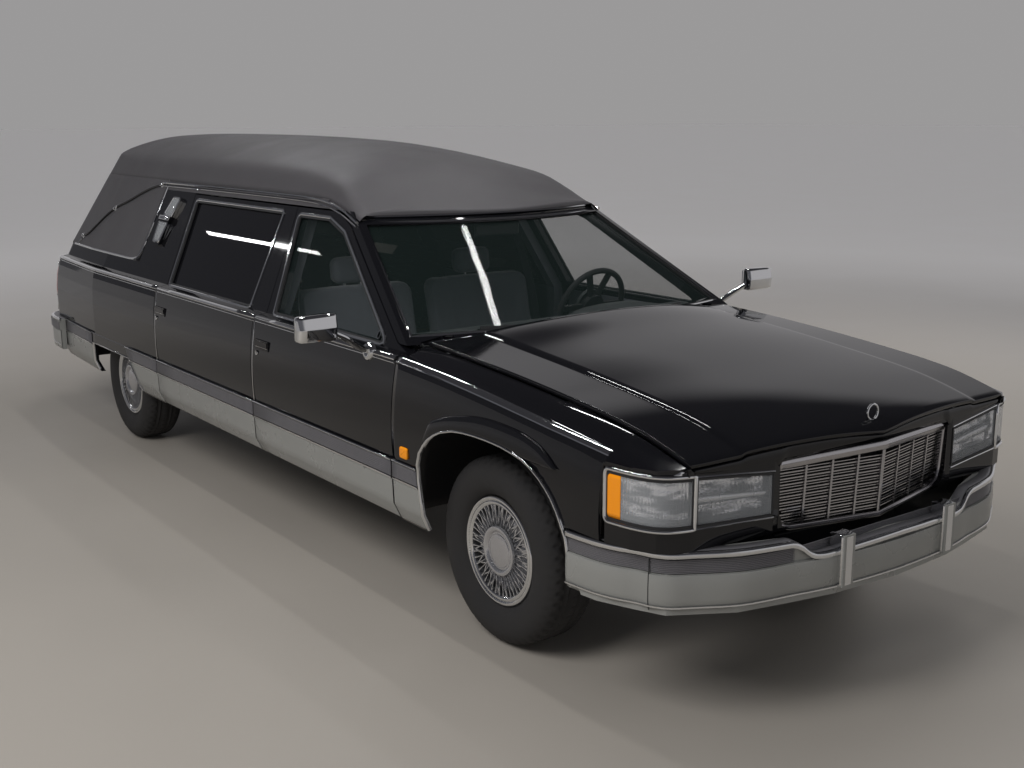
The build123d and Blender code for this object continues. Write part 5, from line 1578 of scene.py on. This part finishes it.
# covering on the roof's sides, round the raked corner to the tail door
borderFront = curveThrough(
    [(1098, 3740), (1110, 3668), (1128, 3640), (1170, 3622), (1260, 3616), (1400, 3613), (1531, 3612)]
)
sideZs = [1099, 1104, 1112, 1124, 1140, 1165, 1200, 1250, 1310, 1370, 1430, 1490, 1530, 1556]
for sideName, s in sides:
    lines = {}
    for z in sideZs:
        inner = 588 - 0.33 * (5180 - tailEnd(560, z))
        lines[z] = cutLine(z, taperStart, inner, 60, tailRows)
        front = borderFront(z) + 4 if z < 1531 else 3616
        lines[z] = [(glassHalf(z), d, 1.0, 0.0) for d in steps(front, taperStart - 10, 16)] + lines[z]

    def onCover(i, z):
        x, d, nx, nd = lines[z][i]
        return spot(s * (min(x, glassHalf(z)) + nx * 1.8), d + nd * 1.8, z + 0.8)

    patch(
        f"side_covering_{sideName}", range(78), sideZs, onCover, (s, 0, 0.4), "vinyl", "body", 1.4, sharp=60
    )

    # paint outside the border's rounded corner
    def onCorner(i, far):
        z = 1260 - 163 * i / 12 if i < 13 else 1097
        inner = (borderFront(max(z, 1099)), max(z, 1099)) if i < 13 else (3740, 1099)
        outer = (3609, z + 4 - 8 * i / 12) if i < 13 else (3740, 1093)
        return onGlass(s, inner[0] + (outer[0] - inner[0]) * far, inner[1] + (outer[1] - inner[1]) * far, 1.0)

    patch(
        f"covering_corner_paint_{sideName}", range(14), [0, 0.5, 1], onCorner, (s, 0, 0.4), "black", "body", 0.8
    )

# tail door: window surround, handle, belt moulding, recess
tailPane = [(-330, 1140), (330, 1140), (292, 1500), (-292, 1500)]
tailNormal = Vector((0, 1, 0.52)).normalized()
for kind, grow, profile, look in (("trim", 8, trimProfile, "chrome"), ("rubber", -3, rubberProfile, "plastic")):
    ring = roundOutline(grownOutline(tailPane, grow), 46)
    sweep(
        f"tail_window_{kind}", [spot(p.x, tailEnd(p.x, p.y) + 0.6, p.y) for p in ring], tailNormal, profile, look,
        "rear_door", ring=True,
    )


def tailFace(x, z, out):
    corner, cornerD, middleD = rowAt(rearRows, z)[1:4]
    return spot(x, middleD - (middleD - cornerD) * (x / corner) ** 2 + out, z)


for kind, rows in beltBands:
    patch(
        f"{kind}_tail", steps(-566, 566, 30), [(z, out + 0.4) for z, out in rows],
        lambda x, row: tailFace(x, row[0], row[1]), (0, 1, 0), "chrome", "rear_door", 1.6,
    )
recess = roundOutline([(-190, 690), (190, 690), (190, 850), (-190, 850)], 18)
sweep(
    "tail_recess_rim", [tailFace(p.x, p.y, 0.5) for p in recess], (0, 1, 0), beadProfile(6, -3, 3, 2, 6), "chrome",
    "rear_door", ring=True,
)
patch(
    "tail_recess_panel", steps(-182, 182, 20), steps(698, 842, 8), lambda x, z: tailFace(x, z, 1.2), (0, 1, 0),
    "plastic", "rear_door", 1,
)
grip = [tailFace(x, 900, out) for x, out in ((-84, 2), (-78, 16), (-62, 26), (0, 30), (62, 26), (78, 16), (84, 2))]
sweep(
    "tail_door_handle", pathThrough(grip, 30), (0, 0.3, 1), oval(8, 6, 12), "chrome", "rear_door",
    sharp=50,
)
for k, x in enumerate((-84, 84)):
    stud(
        f"tail_handle_foot_{k + 1}", tailFace(x, 900, -2), (0, 1, 0), [(0, 15), (5, 15), (8, 12), (9, 0)], "chrome",
        "rear_door",
    )
stud(
    "tail_door_lock", tailFace(150, 900, -2), (0, 1, 0), [(0, 13), (5, 13), (7, 11), (6, 8), (9, 7), (9.5, 0)],
    "chrome", "rear_door",
)
print("tail door")


# padded pieces: a rounded outline carried across the car, drawn in at its ends, with sewn channels
def pad(name, x0, x1, outline, channels, radius=34, crown=10, rounded=46, count=44):
    loop = roundOutline(outline, radius, 7)
    mid = sum(loop, Vector((0, 0))) / len(loop)
    verts = []
    for k in range(count + 1):
        t = 0.5 - 0.5 * math.cos(math.pi * k / count)
        x = x0 + (x1 - x0) * t
        near = min(x - x0, x1 - x)
        shrink = rounded - math.sqrt(max(0, rounded**2 - (rounded - min(near, rounded)) ** 2))
        bow = crown * math.sin(math.pi * t) ** 0.7
        seam = sum(5.0 * math.exp(-(((x - c) / 7) ** 2)) for c in channels)
        for p in loop:
            moved = p + (p - mid).normalized() * (bow * 0.5 - shrink - seam)
            verts.append(spot(x, moved.x, moved.y))
    obj = piece(name, verts, capped(count + 1, len(loop)), "cloth", "body", sharp=70)
    turnFacesOut(obj)
    smooth = obj.modifiers.new("roundness", "SUBSURF")
    smooth.levels = smooth.render_levels = 1
    return obj


cushion = [(1256, 566), (1250, 628), (1310, 652), (1500, 650), (1740, 622), (1752, 556)]
backrest = [(1706, 566), (1742, 600), (1796, 780), (1894, 1088), (1984, 1088), (1930, 760), (1896, 530)]
headrest = [(1930, 1104), (1928, 1160), (1940, 1230), (2000, 1230), (2008, 1160), (1992, 1104)]
for sideName, s in sides:
    ends = (62, 676) if s > 0 else (-676, -62)
    seatX = [s * v for v in (170, 268, 366, 464, 562)]
    for part, outline in (("cushion", cushion), ("backrest", backrest)):
        obj = pad(f"seat_{part}_{sideName}", *ends, outline, seatX, radius=30 if part == "cushion" else 26)
        if s > 0 and part == "cushion":
            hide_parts("cabin_seat")
    rest = pad(
        f"headrest_{sideName}", *((252, 478) if s > 0 else (-478, -252)), headrest, [], radius=26, crown=6,
        rounded=40, count=24,
    )
    for k, x in enumerate((320, 410)):
        post = [spot(s * x, 1954, 1076), spot(s * x, 1964, 1128)]
        sweep(f"headrest_post_{k + 1}_{sideName}", post, (0, -1, 0), oval(6, 6, 12), "satin", "body")
    # belt from the pillar to its buckle
    strap = pathThrough(
        [spot(s * 598, 1926, 1400), spot(s * 676, 1912, 1180), spot(s * 712, 1858, 900), spot(s * 704, 1800, 640)], 24
    )
    sweep(f"seat_belt_{sideName}", strap, (-s, -0.6, 0), barProfile(23, -1, 1), "webbing", "body")
    stud(
        f"belt_anchor_{sideName}", strap[0] + Vector((s * 0.004, 0, 0)), (-s, 0, 0),
        [(0, 22), (9, 22), (12, 18), (12, 0)], "greyTrim", "body",
    )
rest = pad(
    "seat_armrest", -56, 56, [(1330, 640), (1330, 700), (1420, 716), (1720, 740), (1740, 640)], [], radius=26,
    crown=6, rounded=22, count=16,
)
patch(
    "seat_base", steps(-636, 636, 12), [(1262, 560), (1270, 520), (1290, 488)],
    lambda x, row: spot(x, row[0], row[1]), (0, -1, 0), "greyTrim", "body", 4,
)
print("seats")

# dashboard pad with a brow over the instruments, dials, steering pad, mirror
dashRows = [
    (612, 968), (622, 1008), (650, 1022), (700, 1038), (760, 1040), (830, 1030), (890, 1016), (914, 1004), (928, 984),
    (942, 940), (958, 902), (950, 870),
]


def onDash(x, row):
    d, z = row
    swell = math.sin(math.pi * min(1, max(0, (d - 690) / 245)) ** 1.4) ** 0.5 if 690 < d < 935 else 0
    brow = 34 * math.exp(-(((x - 400) / 190) ** 4)) * swell
    return spot(x, d + (14 if brow > 10 and d > 880 else 0), z + 3 + brow)


patch("dash_pad", steps(-796, 796, 96), dashRows, onDash, (0, 0, 1), "dashTrim", "body", 6, sharp=50)
patch(
    "dash_face", steps(-780, 780, 60), [(948, 872), (936, 860), (920, 800), (904, 704)],
    lambda x, row: spot(x, row[0] + (6 if abs(x) % 260 > 30 else 0), row[1]), (0, 1, 0), "greyTrim", "body",
    4,
)
for k, x in enumerate((318, 400, 482)):
    stud(
        f"dial_{k + 1}", spot(x, 944, 948), (0, 1, 0.25), [(0, 36), (8, 36), (9, 33), (3, 32), (2, 0)],
        "satin" if k != 1 else "greyTrim", "body",
    )
stud(
    "steering_pad", spot(400, 1000, 1030) + Vector((0, 0.016, 0.014)), (0, 0.93, 0.36),
    [(-8, 70), (14, 66), (22, 50), (25, 26), (26, 0)], "dashTrim", "body", 36,
)
block("rear_view_mirror", spot(0, 1215, 1402), (250, 26, 62), "plastic", "body", soft=12)
block("rear_view_glass", spot(0, 1229.5, 1402), (232, 3, 50), "mirrorSilver", "body", soft=1)
for sideName, s in sides:
    # inner panels of the doors with armrest and pull
    for door, d0, d1 in (("front", 596, 1776), ("rear", 1872, 3030)):

        def onTrim(d, z):
            t = (d - d0) / (d1 - d0)
            bulge = 42 * math.exp(-(((z - 735) / 40) ** 4)) * math.exp(-(((t - 0.55) / 0.34) ** 6))
            groove = 3 if min(abs(z - 640), abs(z - 860)) < 7 else 0
            return spot(s * (889 - bulge + groove), d, z)

        patch(
            f"door_trim_{door}_{sideName}", steps(d0, d1, 40), steps(372, 984, 48), onTrim, (-s, 0, 0), "greyTrim",
            doorBody(door, sideName), 2.4, sharp=50,
        )
        grip = [spot(s * x, d0 + dd, 800) for x, dd in ((888, 150), (866, 164), (862, 210), (866, 256), (888, 270))]
        sweep(
            f"door_pull_{door}_{sideName}", pathThrough(grip, 16), (0, 0, 1), oval(7, 5, 10), "chrome",
            doorBody(door, sideName), sharp=50,
        )
print("cabin")

# camera, floor and lamps
view = {
    "place": (-3.355997, -5.578410, 1.910456),
    "yaw": -0.634,
    "pitch": -0.214,
    "roll": -0.003,
    "lens": 43.064,
}
level = math.cos(view["pitch"])
ahead = Vector((math.sin(-view["yaw"]) * level, math.cos(view["yaw"]) * level, math.sin(view["pitch"])))
across = ahead.cross(Vector((0, 0, 1))).normalized()
above = across.cross(ahead)
c, s = math.cos(view["roll"]), math.sin(view["roll"])
right, up = across * c + above * s, above * c - across * s
cameraData = bpy.data.cameras.new("photoView")
cameraData.lens, cameraData.sensor_width = view["lens"], 36
camera = bpy.data.objects.new("photoView", cameraData)
bpy.context.scene.collection.objects.link(camera)
turn = Matrix((right, up, -ahead)).transposed().to_4x4()
camera.matrix_world = Matrix.Translation(view["place"]) @ turn
bpy.context.scene.camera = camera

floorMesh = bpy.data.meshes.new("studioFloor")
reach = 240
floorMesh.from_pydata(
    [(-reach, -reach, 0), (reach, -reach, 0), (reach, reach, 0), (-reach, reach, 0)], [], [(0, 1, 2, 3)]
)
studioFloor = bpy.data.objects.new("studioFloor", floorMesh)
bpy.context.scene.collection.objects.link(studioFloor)
concrete = finish(
    "concreteFloor", (0.27, 0.245, 0.215), (0.4, 0.6), tint=(0.33, 0.3, 0.265), tintScale=0.8,
    grain=("noise", 120, 0.1, 0.001),
)
floorMesh.materials.append(concrete)
# the floor's colour is painted paler with distance, painted light that makes up for the lamps lighting it less far
# off, until it meets the backdrop
tree = concrete.node_tree
shader = tree.nodes["Principled BSDF"]
plain = shader.inputs["Base Color"].links[0].from_node
place = makeNode(tree, "TexCoord")
away = makeNode(tree, "VectorMath", feeds=[(0, place, "Object")], operation="LENGTH")
limits = {"From Min": 3, "From Max": 13}
farLightShare = makeNode(tree, "MapRange", limits, [("Value", away, "Value")], interpolation_type="SMOOTHSTEP")
feeds = [("A", plain, "Result"), ("Factor", farLightShare, "Result")]
paintedFarLight = makeNode(tree, "Mix", {"B": (0.95, 0.9, 0.87, 1)}, feeds, data_type="RGBA")
tree.links.new(paintedFarLight.outputs["Result"], shader.inputs["Base Color"])

world = bpy.data.worlds.new("studio")
bpy.context.scene.world = world
world.use_nodes = True
tree = world.node_tree
sky = tree.nodes["Background"]
sky.inputs["Color"].default_value = (0.75, 0.77, 0.8, 1)
sky.inputs["Strength"].default_value = 0.5
# what the paint mirrors: a pale wall low on the car's left, darkness on its right and above
toward = makeNode(tree, "TexCoord")
apart = makeNode(tree, "SeparateXYZ", feeds=[("Vector", toward, "Generated")])
rightShare, highShare = (
    makeNode(
        tree, "MapRange", {"From Min": low, "From Max": high}, [("Value", apart, axis)],
        interpolation_type="SMOOTHSTEP",
    )
    for axis, low, high in (("X", 0.1, -0.25), ("Z", 0.4, 0.47))
)
wallColours = {"A": (0.42, 0.41, 0.42, 1), "B": (0.1, 0.1, 0.11, 1)}
wall = makeNode(tree, "Mix", wallColours, [("Factor", rightShare, "Result")], data_type="RGBA")
feeds = [("A", wall, "Result"), ("Factor", highShare, "Result")]
ceiling = makeNode(tree, "Mix", {"B": (0.035, 0.034, 0.038, 1)}, feeds, data_type="RGBA")
mirrored = makeNode(tree, "Background", feeds=[("Color", ceiling, "Result")])
backdrop = makeNode(tree, "Background", {"Color": (0.325, 0.319, 0.32, 1)})
rays = makeNode(tree, "LightPath")
feeds = [(0, rays, "Is Glossy Ray"), (1, sky, "Background"), (2, mirrored, "Background")]
shiny = makeNode(tree, "MixShader", feeds=feeds)
feeds = [(0, rays, "Is Camera Ray"), (1, shiny, "Shader"), (2, backdrop, "Background")]
choose = makeNode(tree, "MixShader", feeds=feeds)
tree.links.new(choose.outputs["Shader"], tree.nodes["World Output"].inputs["Surface"])
bpy.context.scene.view_settings.view_transform = "Standard"

lamps = [
    # name, place (x, d, z) in metres, width, length, watts, the place that it is aimed at
    ("keySoftbox", (-5.0, -0.5, 5.0), 3.0, 3.0, 300, (0, 1.5, 0.8)),
    ("fillSoftbox", (5.0, 2.0, 4.5), 3.0, 4.0, 120, (0, 2.0, 0.8)),
    ("tubeNear", (-1.0, 1.2, 4.4), 0.09, 2.2, 26, None),
    ("tubeFar", (1.4, 2.2, 4.4), 0.09, 2.2, 26, None),
    ("tubeRear", (0.4, 5.2, 4.4), 0.09, 2.2, 26, None),
    ("tubeGlass", (-2.9, 8.0, 3.0), 0.05, 2.6, 14, None),
    ("tubeGlassLow", (-3.3, 7.6, 2.3), 0.04, 1.3, 6, None),
]
for name, (x, d, z), width, length, watts, aim in lamps:
    lampData = bpy.data.lights.new(name, "AREA")
    lampData.shape, lampData.size, lampData.size_y, lampData.energy = "RECTANGLE", width, length, watts
    lamp = bpy.data.objects.new(name, lampData)
    bpy.context.scene.collection.objects.link(lamp)
    lamp.location = (x, d - axlePlace / 1000, z)
    lamp.visible_glossy, lamp.visible_camera = "tube" in name, False
    if aim:
        toward = Vector((aim[0], aim[1] - axlePlace / 1000, aim[2])) - lamp.location
        lamp.rotation_euler = toward.to_track_quat("-Z", "Y").to_euler()
print("camera, floor and", len(lamps), "lamps")
